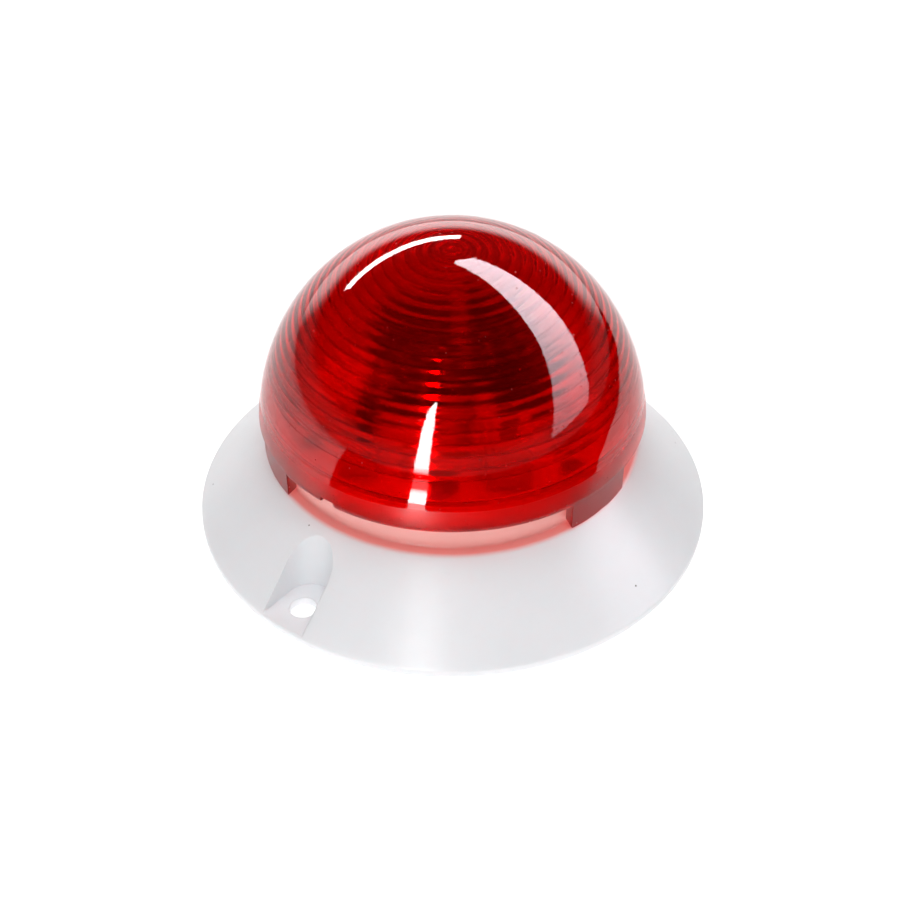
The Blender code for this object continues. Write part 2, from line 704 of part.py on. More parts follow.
def make_film_capacitor():
    centre = (*FILM_CAPACITOR_PLACE, SEATED_Z + FILM_CAPACITOR_SIZE[2] / 2)
    return block("film_capacitor", FILM_CAPACITOR_SIZE, centre, "film_yellow", 0.0005)


# Two-way terminal block, its screws and rising cages.
def terminal_ways():
    x, y = TERMINAL_CENTRE
    return [(x, y + side * TERMINAL_PITCH / 2) for side in (-1, 1)]


def make_terminal_block():
    x, y = TERMINAL_CENTRE
    depth, width, height = TERMINAL_SIZE
    top = SEATED_Z + height
    body = block("terminal_block", TERMINAL_SIZE, (x, y, SEATED_Z + height / 2), "terminal_grey", 0.0003)
    boolean(body, block("terminal_step", (0.0024, width + 0.002, 0.0050), (x - depth / 2, y, top)))
    chamber_size = (CHAMBER_DEPTH, CHAMBER_WIDTH, CHAMBER_TOP_Z - CHAMBER_BOTTOM_Z)
    chamber_middle = (CHAMBER_BOTTOM_Z + CHAMBER_TOP_Z) / 2
    mouth_size = (0.0060, 0.0032, 0.0042)
    for index, (wx, wy) in enumerate(terminal_ways()):
        boolean(body, block(f"chamber_{index}", chamber_size, (wx, wy, chamber_middle)))
        mouth_place = (wx - 0.0040, wy, CHAMBER_BOTTOM_Z + 0.0026)
        boolean(body, block(f"wire_mouth_{index}", mouth_size, mouth_place))
        well = cylinder(
            f"screw_well_{index}", 0.0020, CHAMBER_TOP_Z - 0.0005, top + 0.001, (wx, wy), segments=20
        )
        boolean(body, well)
    return body


def make_terminal_way(index, wx, wy):
    head, shank, head_top = 0.0017, 0.0009, TERMINAL_SCREW_SEAT_Z + 0.0016
    profile = [
        (0.0, head_top),
        (head - 0.0002, head_top),
        (head, head_top - 0.0002),
        (head, TERMINAL_SCREW_SEAT_Z),
        (shank, TERMINAL_SCREW_SEAT_Z),
        (shank, TERMINAL_SCREW_TIP_Z + 0.0003),
        (shank - 0.0003, TERMINAL_SCREW_TIP_Z),
        (0.0, TERMINAL_SCREW_TIP_Z),
    ]
    screw = turned(f"terminal_screw_{index}", profile, "zinc_steel", segments=16)
    screw.location = (wx, wy, 0.0)
    boolean(screw, block(f"terminal_slot_{index}", (0.0060, 0.0006, 0.0020), (wx, wy, head_top)))

    middle = CAGE_BOTTOM_Z + CAGE_HEIGHT / 2
    cage_size = (CAGE_WIDTH, CAGE_WIDTH, CAGE_HEIGHT)
    cage = block(f"terminal_cage_{index}", cage_size, (wx, wy, middle), "tinned_steel", 0.0002)
    wall, window_height = 0.0007, 0.0029
    window_place = (wx, wy, CAGE_BOTTOM_Z + wall + window_height / 2)
    boolean(cage, block(f"cage_window_{index}", (0.0080, 0.0022, window_height), window_place))
    hole = cylinder(f"cage_hole_{index}", shank + GAP, middle, middle + 0.004, (wx, wy), segments=16)
    boolean(cage, hole)


# Two-way slide switch, trimmer, sounder and tamper switch.
def make_slide_switch():
    x, y = SWITCH_PLACE
    height = SWITCH_SIZE[2]
    top = SEATED_Z + height
    body = block("slide_switch_body", SWITCH_SIZE, (x, y, SEATED_Z + height / 2), "switch_red", 0.0003)
    start = x - SLIDER_TRAVEL / 2
    for index, side in enumerate((-1, 1)):
        lane = y + side * SLIDER_LANE
        boolean(body, block(f"switch_lane_{index}", (0.0044, 0.0018, 0.0032), (x, lane, top)))
        slider_place = (start, lane, top - 0.0004)
        block(f"switch_slider_{index + 1}", SLIDER_SIZE, slider_place, "moulded_white", 0.0002)
    return body


def make_trimmer():
    x, y = TRIMMER_PLACE
    height, well_depth, proud = TRIMMER_SIZE[2], 0.0012, 0.0003
    top = SEATED_Z + height
    body = block("trimmer_body", TRIMMER_SIZE, (x, y, SEATED_Z + height / 2), "trimmer_orange", 0.0004)
    boolean(body, cylinder("trimmer_well", TRIMMER_WELL_RADIUS, top - well_depth, top + 0.002, (x, y)))
    rotor_bottom = top - well_depth + GAP
    rotor = cylinder(
        "trimmer_rotor", TRIMMER_ROTOR_RADIUS, rotor_bottom, top + proud, (x, y), "moulded_white"
    )
    boolean(rotor, block("trimmer_slot", (0.0034, 0.0007, 0.0016), (x, y, top + proud)))
    return body, rotor


def make_sounder():
    roof, edge = 0.0008, 0.0004
    top = SEATED_Z + SOUNDER_HEIGHT
    profile = [
        (SOUNDER_PORT_RADIUS, top),
        (SOUNDER_RADIUS - edge, top),
        (SOUNDER_RADIUS, top - edge),
        (SOUNDER_RADIUS, SEATED_Z),
        (SOUNDER_INNER_RADIUS, SEATED_Z),
        (SOUNDER_INNER_RADIUS, top - roof),
        (SOUNDER_PORT_RADIUS, top - roof),
    ]
    case = turned("sounder_case", profile, "moulded_white", segments=28, closed=True)
    case.location = (*SOUNDER_PLACE, 0.0)
    disc_radius = SOUNDER_INNER_RADIUS - GAP
    low, high = top - 0.0032, top - 0.0028
    cylinder("sounder_disc", disc_radius, low, high, SOUNDER_PLACE, "brass_disc", segments=28)


def make_tamper_switch():
    x, y = TAMPER_PLACE
    top, bottom = BOARD_BOTTOM_Z - GAP, FLOOR_TOP_Z + GAP
    size = (*TAMPER_BODY, top - bottom)
    body = block("tamper_switch_body", size, (x, y, (top + bottom) / 2), "moulded_white", 0.0003)
    socket = cylinder("tamper_socket", PLUNGER_RADIUS + GAP, bottom - 0.001, top - 0.0008, TAMPER_PLACE)
    boolean(body, socket)
    tip, head, edge = 0.0002, top - 0.0012, 0.0004
    profile = [
        (0.0, head),
        (PLUNGER_RADIUS, head),
        (PLUNGER_RADIUS, tip + edge),
        (PLUNGER_RADIUS - edge, tip),
        (0.0, tip),
    ]
    plunger = turned("tamper_plunger", profile, "moulded_white", segments=20)
    plunger.location = (x, y, 0.0)


make_base()
make_lens()
make_seal()
make_grommet()
make_board()
make_board_screws()
make_flash_tube()
make_leads()
make_trigger_coil()
make_trigger_wire()
make_inverter()
make_storage_capacitor()
make_axial("gate_resistor", GATE_RESISTOR_PLACE, 90.0, RESISTOR_SIZE, "resistor_tan")
make_axial("bleed_resistor", BLEED_RESISTOR_PLACE, 90.0, RESISTOR_SIZE, "resistor_tan")
make_axial("rectifier_diode", DIODE_PLACE, 0.0, DIODE_SIZE, "black_plastic")
make_transistor()
make_film_capacitor()
make_terminal_block()
for way, (way_x, way_y) in enumerate(terminal_ways(), start=1):
    make_terminal_way(way, way_x, way_y)
make_slide_switch()
make_trimmer()
make_sounder()
make_tamper_switch()
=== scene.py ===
"""Looks of the wall-mounted alarm beacon: a ribbed red lens over a driver board, on a white conical base.

Metres, +Z out of the wall, -Y to the front. The origin is the middle of the base's flat back.
"""

import json
import math
import random

import bmesh
import bpy
from mathutils import Matrix, Vector

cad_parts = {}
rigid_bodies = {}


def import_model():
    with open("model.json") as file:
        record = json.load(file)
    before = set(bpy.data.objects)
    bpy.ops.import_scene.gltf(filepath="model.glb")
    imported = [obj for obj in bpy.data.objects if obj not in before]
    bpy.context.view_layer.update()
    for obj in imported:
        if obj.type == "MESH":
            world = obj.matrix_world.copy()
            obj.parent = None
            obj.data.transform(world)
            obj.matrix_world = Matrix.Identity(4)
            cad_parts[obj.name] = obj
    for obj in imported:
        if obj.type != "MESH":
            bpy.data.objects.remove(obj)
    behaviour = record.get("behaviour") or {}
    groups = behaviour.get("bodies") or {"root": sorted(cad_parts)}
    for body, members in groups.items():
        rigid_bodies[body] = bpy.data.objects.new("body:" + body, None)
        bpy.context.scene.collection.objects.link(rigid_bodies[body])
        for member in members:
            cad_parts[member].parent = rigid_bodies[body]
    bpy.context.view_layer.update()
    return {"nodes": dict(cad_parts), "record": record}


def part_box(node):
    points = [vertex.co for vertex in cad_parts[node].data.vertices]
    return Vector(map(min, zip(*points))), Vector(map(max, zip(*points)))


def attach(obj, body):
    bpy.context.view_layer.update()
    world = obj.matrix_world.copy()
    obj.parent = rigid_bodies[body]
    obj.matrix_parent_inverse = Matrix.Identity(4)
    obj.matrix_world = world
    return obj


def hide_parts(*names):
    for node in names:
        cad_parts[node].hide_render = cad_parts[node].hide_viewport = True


for startup_object in list(bpy.data.objects):
    bpy.data.objects.remove(startup_object, do_unlink=True)
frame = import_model()
nodes = frame["nodes"]

MM = 0.001

# Lens, from its CAD solid: the ellipse has its centre below the crown by its own height.
LENS_LOW, LENS_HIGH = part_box("lens_dome")
CROWN_Z = LENS_HIGH.z
LENS_RADIUS = 37.0 * MM
LENS_HEIGHT = 38.2 * MM
LENS_CENTRE_Z = CROWN_Z - LENS_HEIGHT
LENS_INNER_RADIUS = 33.88 * MM
LENS_INNER_HEIGHT = 35.6 * MM
LENS_RIM_Z = 22.4 * MM
SATIN_TOP_Z = 27.0 * MM
SKIRT_INNER_RADIUS = 34.2 * MM
SEAT_Z = 27.0 * MM
RIB_FOOT_Z = 30.6 * MM
RIB_COUNT = 21
RIB_DEPTH = 0.14 * MM
TAB_INNER_RADIUS = 34.45 * MM
TAB_OUTER_RADIUS = 36.3 * MM
TAB_BOTTOM_Z = LENS_LOW.z
TAB_HALF_WIDTH = math.radians(11.75)
TAB_AZIMUTHS = (47.8, 170.0, -68.2)
NOTCH_AZIMUTH = -36.4
NOTCH_WIDTH = 4.0 * MM
NOTCH_DEPTH = 1.1 * MM
LENS_SEGMENTS = 224

# Base.
BASE_RADIUS = 50.0 * MM
LIP_TOP_RADIUS = 49.65 * MM
LIP_HEIGHT = 1.9 * MM
CONE_TOP_RADIUS = 36.1 * MM
CONE_TOP_Z = 16.0 * MM
SKIN = 2.2 * MM
COLLAR_RADIUS = 33.9 * MM
COLLAR_WALL = 2.3 * MM
COLLAR_TOP_Z = 25.5 * MM
FLOOR_TOP_Z = 12.5 * MM
FLOOR_THICKNESS = 2.0 * MM
POCKET_AZIMUTHS = (-38.6, 141.4)
POCKET_RADIUS = 4.85 * MM
POCKET_CENTRE = 42.3 * MM
POCKET_FLOOR_Z = 1.8 * MM
POCKET_WALL = 1.6 * MM
FIXING_HOLE_RADIUS = 2.55 * MM
FIXING_HOLE_CENTRE = 43.9 * MM
BASE_SEGMENTS = 256

# Finishes, board details, stage and camera.
GLASS_IOR = 1.47
PATCH_SCALE = 350.0
GRAIN_SCALE = 9000.0
GRAIN_DEPTH = 0.02 * MM
SHEET_CUT = (15 * MM, 22 * MM)
PAPER_GLOW = 0.52
LENS_IOR = 1.45
RIB_FOOT_TURN = math.acos((RIB_FOOT_Z - LENS_CENTRE_Z) / LENS_INNER_HEIGHT)
LENS_SHADOW = (0.985, 0.86, 0.86)
DYE_COLOUR = (0.982, 0.0, 0.25)
DYE_DENSITY = 2000.0
INNER_ROUGHNESS = 0.20
COLLAR_GLOW = (0.94, 0.46, 0.42)
BOARD_BOTTOM_Z = 17.0 * MM
BOARD_TOP_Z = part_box("circuit_board")[1].z
SCREW_PLACES = [(low + high) / 2 for low, high in (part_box(f"board_screw_{index}") for index in (1, 2, 3))]
TAMPER_PLACE = (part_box("tamper_plunger")[0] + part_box("tamper_plunger")[1]) / 2
GROMMET_PLACE = (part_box("cable_grommet")[0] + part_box("cable_grommet")[1]) / 2
GROMMET_HOLE_RADIUS = 5.5 * MM
PLUNGER_BORE = 1.9 * MM
BROWN = (0.10, 0.035, 0.012)
ORANGE = (0.75, 0.22, 0.02)
BLACK = (0.01, 0.01, 0.01)
GOLD = (0.50, 0.34, 0.08)
SHEET_LEFT, SHEET_RIGHT = -15.0 * MM, 19.0 * MM
SHEET_FRONT, SHEET_BACK = 3.5 * MM, 24.0 * MM
TRACK_PAIRS = (
    ("terminal_block", "film_capacitor"),
    ("terminal_block", "slide_switch_body"),
    ("trigger_coil", "gate_resistor"),
    ("trimmer_body", "gate_resistor"),
    ("sounder_case", "trimmer_body"),
    ("trigger_coil", "film_capacitor"),
    ("slide_switch_body", "bleed_resistor"),
    ("terminal_block", "board_screw_2"),
)
DIMMED_PAPER = (0.35, 0.74)
STAGE_CENTRE = Vector((0.0, 0.0, 25.0 * MM))
LAMP_DISTANCE = 0.60
FLAG_EDGE = [(-60, 0.20), (-56, 0.062)] + [(turn, 0.062) for turn in range(-50, 60, 10)]
FLAG_EDGE += [(60, 0.065), (75, 0.11), (88, 0.155), (101, 0.185), (114, 0.286)]
FLAG_EDGE += [(125, 0.338), (135, 0.706), (143, 3.8)]
FILL_WATTS = 4.4
OVERHEAD_WATTS = 14.0
SKY_LOW = 3.0
SKY_HIGH = 0.02
SKY_THROUGH_LENS = 0.40
SKY_BAND = (7.0, 16.0)  # degrees above the floor
REAR_BAND = (0.62, 0.80)  # share of the way towards the rear
REAR_SHARE = (0.06, 1.0)
CAMERA_WHITE = 1.05
FLOOR_GAP = 0.05 * MM
FLAG_RIM = 3.9
FLAG_Z = 0.3 * MM
# Lamp edges as (azimuth, elevation) in degrees, and each row's share of its lamp's strength.
CRESCENT = (
    ((56.2, 6.3), (85.6, 6.3), 0.17),
    ((64.0, 18.3), (91.1, 10.2), 0.25),
    ((74.1, 31.4), (96.8, 16.8), 0.42),
    ((84.4, 42.4), (105.2, 25.5), 0.65),
    ((99.2, 52.9), (117.7, 35.8), 0.92),
    ((124.5, 60.4), (132.0, 43.2), 1.0),
    ((154.6, 60.2), (149.7, 47.1), 1.0),
    ((173.2, 56.1), (167.3, 47.0), 1.0),
    ((178.6, 53.6), (177.4, 51.3), 1.0),
)
FRONT_STRIP = (
    ((-11.6, 39.8), (-10.9, 39.6), 1.0),
    ((-14.5, 37.2), (-10.8, 36.7), 1.0),
    ((-16.6, 33.0), (-11.0, 32.5), 1.0),
    ((-18.0, 26.0), (-11.4, 25.5), 1.0),
    ((-19.1, 14.8), (-12.0, 14.0), 1.0),
    ((-20.2, 4.5), (-12.6, 4.5), 1.0),
    ((-20.5, 0.5), (-12.8, 0.5), 0.08),
)
# The strip's foot lies over the paper: radius in metres and share.
STRIP_FOOT = ((0.60, 0.05), (0.23, 0.06), (0.175, 1.0), (0.122, 1.0), (0.121, 0.22), (0.078, 0.22))
BACK_STRIP = (((-133, 28), (-133, 24), 1.0), ((-159, 31.5), (-156, 27), 1.0), ((177, 29), (177, 25), 1.0))
CAMERA_DISTANCE = 0.300
CAMERA_ELEVATION = 40.948
CAMERA_PITCH = 39.796
CAMERA_YAW = -0.129
CAMERA_ROLL = -0.265
CAMERA_LENS = 58.09

# Finish of each material slot: colour, roughness, metallic, mottle.
FINISHES = {
    "seal_rubber": ((0.66, 0.64, 0.61), 0.5, 0.0, 0.06),
    "board_laminate": ((0.86, 0.86, 0.84), 0.35, 0.0, 0.05),
    "zinc_steel": ((0.58, 0.58, 0.56), 0.30, 1.0, 0.10),
    "tinned_metal": ((0.66, 0.66, 0.64), 0.26, 1.0, 0.10),
    "sleeve_black": ((0.018, 0.018, 0.020), 0.5, 0.0, 0.10),
    "copper_winding": ((0.55, 0.22, 0.09), 0.32, 0.6, 0.10),
    "winding_tape": ((0.10, 0.06, 0.03), 0.35, 0.0, 0.10),
    "black_plastic": ((0.022, 0.022, 0.024), 0.42, 0.0, 0.10),
    "ferrite": ((0.060, 0.060, 0.065), 0.55, 0.0, 0.10),
    "capacitor_sleeve": ((0.015, 0.030, 0.110), 0.28, 0.0, 0.10),
    "resistor_coat": ((0.50, 0.36, 0.22), 0.42, 0.0, 0.10),
    "film_yellow": ((0.66, 0.40, 0.06), 0.38, 0.0, 0.10),
    "terminal_grey": ((0.56, 0.56, 0.54), 0.42, 0.0, 0.10),
    "switch_red": ((0.55, 0.035, 0.03), 0.42, 0.0, 0.10),
    "moulded_white": ((0.74, 0.74, 0.71), 0.40, 0.0, 0.10),
    "trimmer_orange": ((0.70, 0.24, 0.04), 0.38, 0.0, 0.10),
    "brass_disc": ((0.62, 0.43, 0.16), 0.30, 1.0, 0.10),
    "clear_glass": ((0.90, 0.93, 0.94), 0.04, 0.0, 0.10),
}


# Helpers: places and meshes.
def around(azimuth, radius, z=0.0):
    """A point at an azimuth in degrees from the front, positive towards +X."""
    turn = math.radians(azimuth)
    return Vector((radius * math.sin(turn), -radius * math.cos(turn), z))


def direction(azimuth, elevation):
    rise = math.radians(elevation)
    return around(azimuth, math.cos(rise), math.sin(rise))


def add_piece(name, mesh, body, slot_name, *replaced):
    """Links a piece of the object to the body that it rides on, and hides the CAD nodes that it replaces."""
    piece = bpy.data.objects.new(name, mesh)
    bpy.context.scene.collection.objects.link(piece)
    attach(piece, body)
    if replaced:
        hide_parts(*replaced)
    return piece


def smooth(mesh, sharp_degrees=35.0):
    mesh.shade_smooth()
    mesh.set_sharp_from_angle(angle=math.radians(sharp_degrees))


def lathe(name, profile, segments, closed=True):
    """Turns (radius, z) points round the Z axis. Points on the axis become one vertex."""
    shape = bmesh.new()
    rings = []
    for radius, z in profile:
        if radius < 1e-7:
            rings.append([shape.verts.new((0.0, 0.0, z))])
            continue
        ring = []
        for step in range(segments):
            turn = 2 * math.pi * step / segments
            ring.append(shape.verts.new((radius * math.cos(turn), radius * math.sin(turn), z)))
        rings.append(ring)
    pairs = list(zip(rings, rings[1:]))
    if closed and len(rings[0]) > 1 and len(rings[-1]) > 1:
        pairs.append((rings[-1], rings[0]))
    for upper, lower in pairs:
        for step in range(segments):
            after = (step + 1) % segments
            if len(upper) == 1 and len(lower) == 1:
                break
            if len(upper) == 1:
                shape.faces.new((upper[0], lower[step], lower[after]))
            elif len(lower) == 1:
                shape.faces.new((upper[step], lower[0], upper[after]))
            else:
                shape.faces.new((upper[step], lower[step], lower[after], upper[after]))
    bmesh.ops.recalc_face_normals(shape, faces=shape.faces)
    mesh = bpy.data.meshes.new(name)
    shape.to_mesh(mesh)
    shape.free()
    return mesh


def prism(name, outline, bottom, top):
    """Extrudes an (x, y) outline between two heights."""
    shape = bmesh.new()
    low = [shape.verts.new((x, y, bottom)) for x, y in outline]
    high = [shape.verts.new((x, y, top)) for x, y in outline]
    shape.faces.new(low)
    shape.faces.new(high)
    count = len(outline)
    for step in range(count):
        after = (step + 1) % count
        shape.faces.new((low[step], low[after], high[after], high[step]))
    bmesh.ops.recalc_face_normals(shape, faces=shape.faces)
    mesh = bpy.data.meshes.new(name)
    shape.to_mesh(mesh)
    shape.free()
    return mesh


def rectangle(left, right, front, back):
    return [(left, front), (right, front), (right, back), (left, back)]


def combine(mesh, changes):
    """Cuts or joins closed meshes, given as (operation, mesh, matrix), and returns the new mesh."""
    item = bpy.data.objects.new("combining", mesh)
    bpy.context.scene.collection.objects.link(item)
    tools = []
    for operation, tool_mesh, matrix in changes:
        tool = bpy.data.objects.new("tool", tool_mesh)
        bpy.context.scene.collection.objects.link(tool)
        tool.matrix_world = matrix
        tools.append(tool)
        modifier = item.modifiers.new("Combine", "BOOLEAN")
        modifier.operation = operation
        modifier.solver = "MANIFOLD"
        modifier.object = tool
    bpy.context.view_layer.update()
    graph = bpy.context.evaluated_depsgraph_get()
    made = bpy.data.meshes.new_from_object(item.evaluated_get(graph))
    made.name = mesh.name
    for used in (item, *tools):
        bpy.data.objects.remove(used, do_unlink=True)
    return made


def ellipse_points(radius, height, z_from, z_to, steps):
    """Points on an ellipse round the lens's centre, evenly spaced by angle from the crown."""
    start = math.acos(min(1.0, (z_from - LENS_CENTRE_Z) / height))
    end = math.acos(min(1.0, (z_to - LENS_CENTRE_Z) / height))
    turns = [start + (end - start) * step / steps for step in range(steps + 1)]
    return [(radius * math.sin(turn), LENS_CENTRE_Z + height * math.cos(turn)) for turn in turns]


# Helpers: materials.
class Paint:
    """A material's node tree, with short calls for the nodes that the finishes share."""

    def __init__(self, name):
        self.material = bpy.data.materials.new(name)
        self.material.use_nodes = True
        self.tree = self.material.node_tree
        self.surface = self.tree.nodes["Principled BSDF"]
        self.output = self.tree.nodes["Material Output"]
        self.place = self.node("ShaderNodeTexCoord").outputs["Object"]

    def node(self, kind, **settings):
        made = self.tree.nodes.new(kind)
        for key, value in settings.items():
            setattr(made, key, value)
        return made

    def link(self, source, socket):
        self.tree.links.new(source, socket)

    def noise(self, scale, detail=3.0, roughness=0.55, stretch=None, distortion=0.0):
        made = self.node("ShaderNodeTexNoise")
        made.inputs["Scale"].default_value = scale
        made.inputs["Detail"].default_value = detail
        made.inputs["Roughness"].default_value = roughness
        made.inputs["Distortion"].default_value = distortion
        place = self.place
        if stretch:
            mapping = self.node("ShaderNodeMapping")
            mapping.inputs["Scale"].default_value = stretch
            self.link(self.place, mapping.inputs["Vector"])
            place = mapping.outputs["Vector"]
        self.link(place, made.inputs["Vector"])
        return made.outputs["Fac"]

    def spread(self, value, low, high, from_low=0.3, from_high=0.7):
        made = self.node("ShaderNodeMapRange")
        made.inputs["From Min"].default_value = from_low
        made.inputs["From Max"].default_value = from_high
        made.inputs["To Min"].default_value = low
        made.inputs["To Max"].default_value = high
        self.link(value, made.inputs["Value"])
        return made.outputs["Result"]

    def maths(self, operation, first, second=None):
        made = self.node("ShaderNodeMath", operation=operation)
        for socket, value in zip(made.inputs, (first, second)):
            if value is None:
                continue
            if isinstance(value, (int, float)):
                socket.default_value = value
            else:
                self.link(value, socket)
        return made.outputs["Value"]

    def blend(self, share, first, second):
        """Mixes two colours or sockets by a share."""
        made = self.node("ShaderNodeMix", data_type="RGBA")
        self.link(share, made.inputs["Factor"])
        for socket, value in ((made.inputs["A"], first), (made.inputs["B"], second)):
            if isinstance(value, tuple):
                socket.default_value = (*value, 1.0)
            else:
                self.link(value, socket)
        return made.outputs["Result"]

    def coordinate(self, axis):
        split = self.node("ShaderNodeSeparateXYZ")
        self.link(self.place, split.inputs["Vector"])
        return split.outputs[axis]

    def specks(self, scale, size, chance):
        """A mask of small scattered spots: one in each of a share of the cells."""
        cells = self.node("ShaderNodeTexVoronoi")
        cells.inputs["Scale"].default_value = scale
        self.link(self.place, cells.inputs["Vector"])
        near = self.maths("LESS_THAN", cells.outputs["Distance"], size)
        split = self.node("ShaderNodeSeparateColor")
        self.link(cells.outputs["Color"], split.inputs["Color"])
        chosen = self.maths("LESS_THAN", split.outputs["Red"], chance)
        return self.maths("MULTIPLY", near, chosen)

    def bump(self, height, distance, strength=1.0, radius=None):
        made = self.node("ShaderNodeBump")
        made.inputs["Distance"].default_value = distance
        made.inputs["Strength"].default_value = strength
        self.link(height, made.inputs["Height"])
        if radius:
            rounding = self.node("ShaderNodeBevel", samples=4)
            rounding.inputs["Radius"].default_value = radius
            self.link(rounding.outputs["Normal"], made.inputs["Normal"])
        self.link(made.outputs["Normal"], self.surface.inputs["Normal"])

    def set(self, **values):
        for key, value in values.items():
            self.surface.inputs[key.replace("_", " ")].default_value = value


def shade(colour, factor):
    return tuple(min(1.0, channel * factor) for channel in colour)


def moulded(name, colour, roughness, metallic=0.0, mottle=0.10):
    """A finish with mottled colour, uneven gloss, fine grain and a few scuffs."""
    paint = Paint(name)
    paint.set(Metallic=metallic)
    broad = paint.noise(PATCH_SCALE, 4.0)
    fine = paint.noise(GRAIN_SCALE, 2.0)
    scuff = paint.noise(PATCH_SCALE * 2.5, 6.0, 0.7, stretch=(1.0, 6.0, 1.0), distortion=0.4)
    darker, lighter = shade(colour, 1.0 - mottle), shade(colour, 1.0 + mottle)
    tint = paint.blend(paint.spread(broad, 0.0, 1.0), darker, lighter)
    dusty = paint.spread(scuff, 0.0, 0.35, 0.62, 0.80)
    grey = sum(colour) / 3
    dust = tuple(channel * 0.6 + grey * 0.4 + 0.02 for channel in colour)
    paint.link(paint.blend(dusty, tint, dust), paint.surface.inputs["Base Color"])
    uneven = paint.spread(broad, roughness * 0.85, roughness * 1.15)
    rough = paint.maths("ADD", uneven, paint.maths("MULTIPLY", dusty, 0.3))
    paint.link(rough, paint.surface.inputs["Roughness"])
    height = paint.maths("ADD", fine, paint.maths("MULTIPLY", broad, 0.5))
    paint.bump(height, GRAIN_DEPTH)
    return paint


def depth_share(paint):
    """1 on the lens's outer ellipse, and less further in."""
    across = paint.maths("DIVIDE", paint.coordinate("X"), LENS_RADIUS)
    along = paint.maths("DIVIDE", paint.coordinate("Y"), LENS_RADIUS)
    rise = paint.maths("DIVIDE", paint.maths("SUBTRACT", paint.coordinate("Z"), LENS_CENTRE_Z), LENS_HEIGHT)
    flat_part = paint.maths("ADD", paint.maths("POWER", across, 2.0), paint.maths("POWER", along, 2.0))
    return paint.maths("ADD", flat_part, paint.maths("POWER", rise, 2.0))


def make_red_lens():
    paint = Paint("red_polycarbonate")
    paint.set(Transmission_Weight=1.0, IOR=LENS_IOR, Specular_IOR_Level=0.5)
    z = paint.coordinate("Z")
    satin = paint.spread(z, 1.0, 0.0, SATIN_TOP_Z - 0.25 * MM, SATIN_TOP_Z)
    fine = paint.noise(5200.0, 3.0)
    broad = paint.noise(160.0, 3.0)
    tint = paint.blend(paint.spread(broad, 0.0, 1.0), (0.95, 0.90, 0.90), (1.0, 0.98, 0.98))
    # Painted shade: the lens is painted dark red from just above its rim down, over the rim's lower edge and
    # the tabs.
    shaded_low_edge = paint.spread(z, 1.0, 0.0, LENS_RIM_Z + 0.5 * MM, LENS_RIM_Z + 1.1 * MM)
    tint = paint.blend(satin, tint, (0.84, 0.30, 0.30))
    tint = paint.blend(shaded_low_edge, tint, (0.46, 0.06, 0.06))
    inner = paint.maths("LESS_THAN", depth_share(paint), 0.94)
    # Painted shade: a darker line is painted in the hollow between each two ribs, for the shade that the
    # ribs' shape gives.
    rise = paint.maths("DIVIDE", paint.maths("SUBTRACT", z, LENS_CENTRE_Z), LENS_INNER_HEIGHT)
    turn = paint.maths("ARCCOSINE", paint.maths("MINIMUM", rise, 0.9999))
    rib = paint.maths("FRACT", paint.maths("MULTIPLY", turn, RIB_COUNT / RIB_FOOT_TURN))
    valley_shade = paint.spread(paint.maths("ABSOLUTE", paint.maths("SUBTRACT", rib, 0.5)), 0.0, 1.0, 0.30, 0.47)
    valley_shade = paint.maths("MULTIPLY", valley_shade, paint.maths("GREATER_THAN", z, RIB_FOOT_Z))
    tint = paint.blend(paint.maths("MULTIPLY", valley_shade, inner), tint, (0.40, 0.10, 0.10))
    dust = paint.specks(900.0, 0.16, 0.08)
    paint.link(paint.blend(dust, tint, (0.8, 0.7, 0.7)), paint.surface.inputs["Base Color"])
    polish = paint.spread(paint.noise(420.0, 5.0, 0.6), 0.015, 0.05)
    frosted = paint.spread(fine, 0.24, 0.34)
    rough = paint.maths("ADD", paint.maths("MULTIPLY", frosted, satin), polish)
    # The moulding's inner side is duller than its outside, to blur what is behind it.
    rough = paint.maths("ADD", rough, paint.maths("MULTIPLY", inner, INNER_ROUGHNESS))
    rough = paint.maths("ADD", rough, paint.maths("MULTIPLY", dust, 0.4))
    paint.link(rough, paint.surface.inputs["Roughness"])
    height = paint.maths("MULTIPLY", fine, paint.maths("ADD", paint.maths("MULTIPLY", satin, 0.35), 0.03))
    ripple = paint.maths("MULTIPLY", paint.noise(90.0, 1.0), 0.6)
    paint.bump(paint.maths("ADD", height, ripple), 0.02 * MM)
    paint.link(inner, paint.surface.inputs["Coat Weight"])
    paint.set(Coat_IOR=2.2, Coat_Roughness=0.10)
    # The lens is nearly clear to shadow rays, so that lamps light the inside.
    path = paint.node("ShaderNodeLightPath")
    clear = paint.node("ShaderNodeBsdfTransparent")
    clear.inputs["Color"].default_value = (*LENS_SHADOW, 1.0)
    mix = paint.node("ShaderNodeMixShader")
    paint.link(path.outputs["Is Shadow Ray"], mix.inputs["Fac"])
    paint.link(paint.surface.outputs["BSDF"], mix.inputs[1])
    paint.link(clear.outputs["BSDF"], mix.inputs[2])
    paint.link(mix.outputs["Shader"], paint.output.inputs["Surface"])
    dye = paint.node("ShaderNodeVolumeAbsorption")
    dye.inputs["Color"].default_value = (*DYE_COLOUR, 1.0)
    dye.inputs["Density"].default_value = DYE_DENSITY
    paint.link(dye.outputs["Volume"], paint.output.inputs["Volume"])
    return paint.material


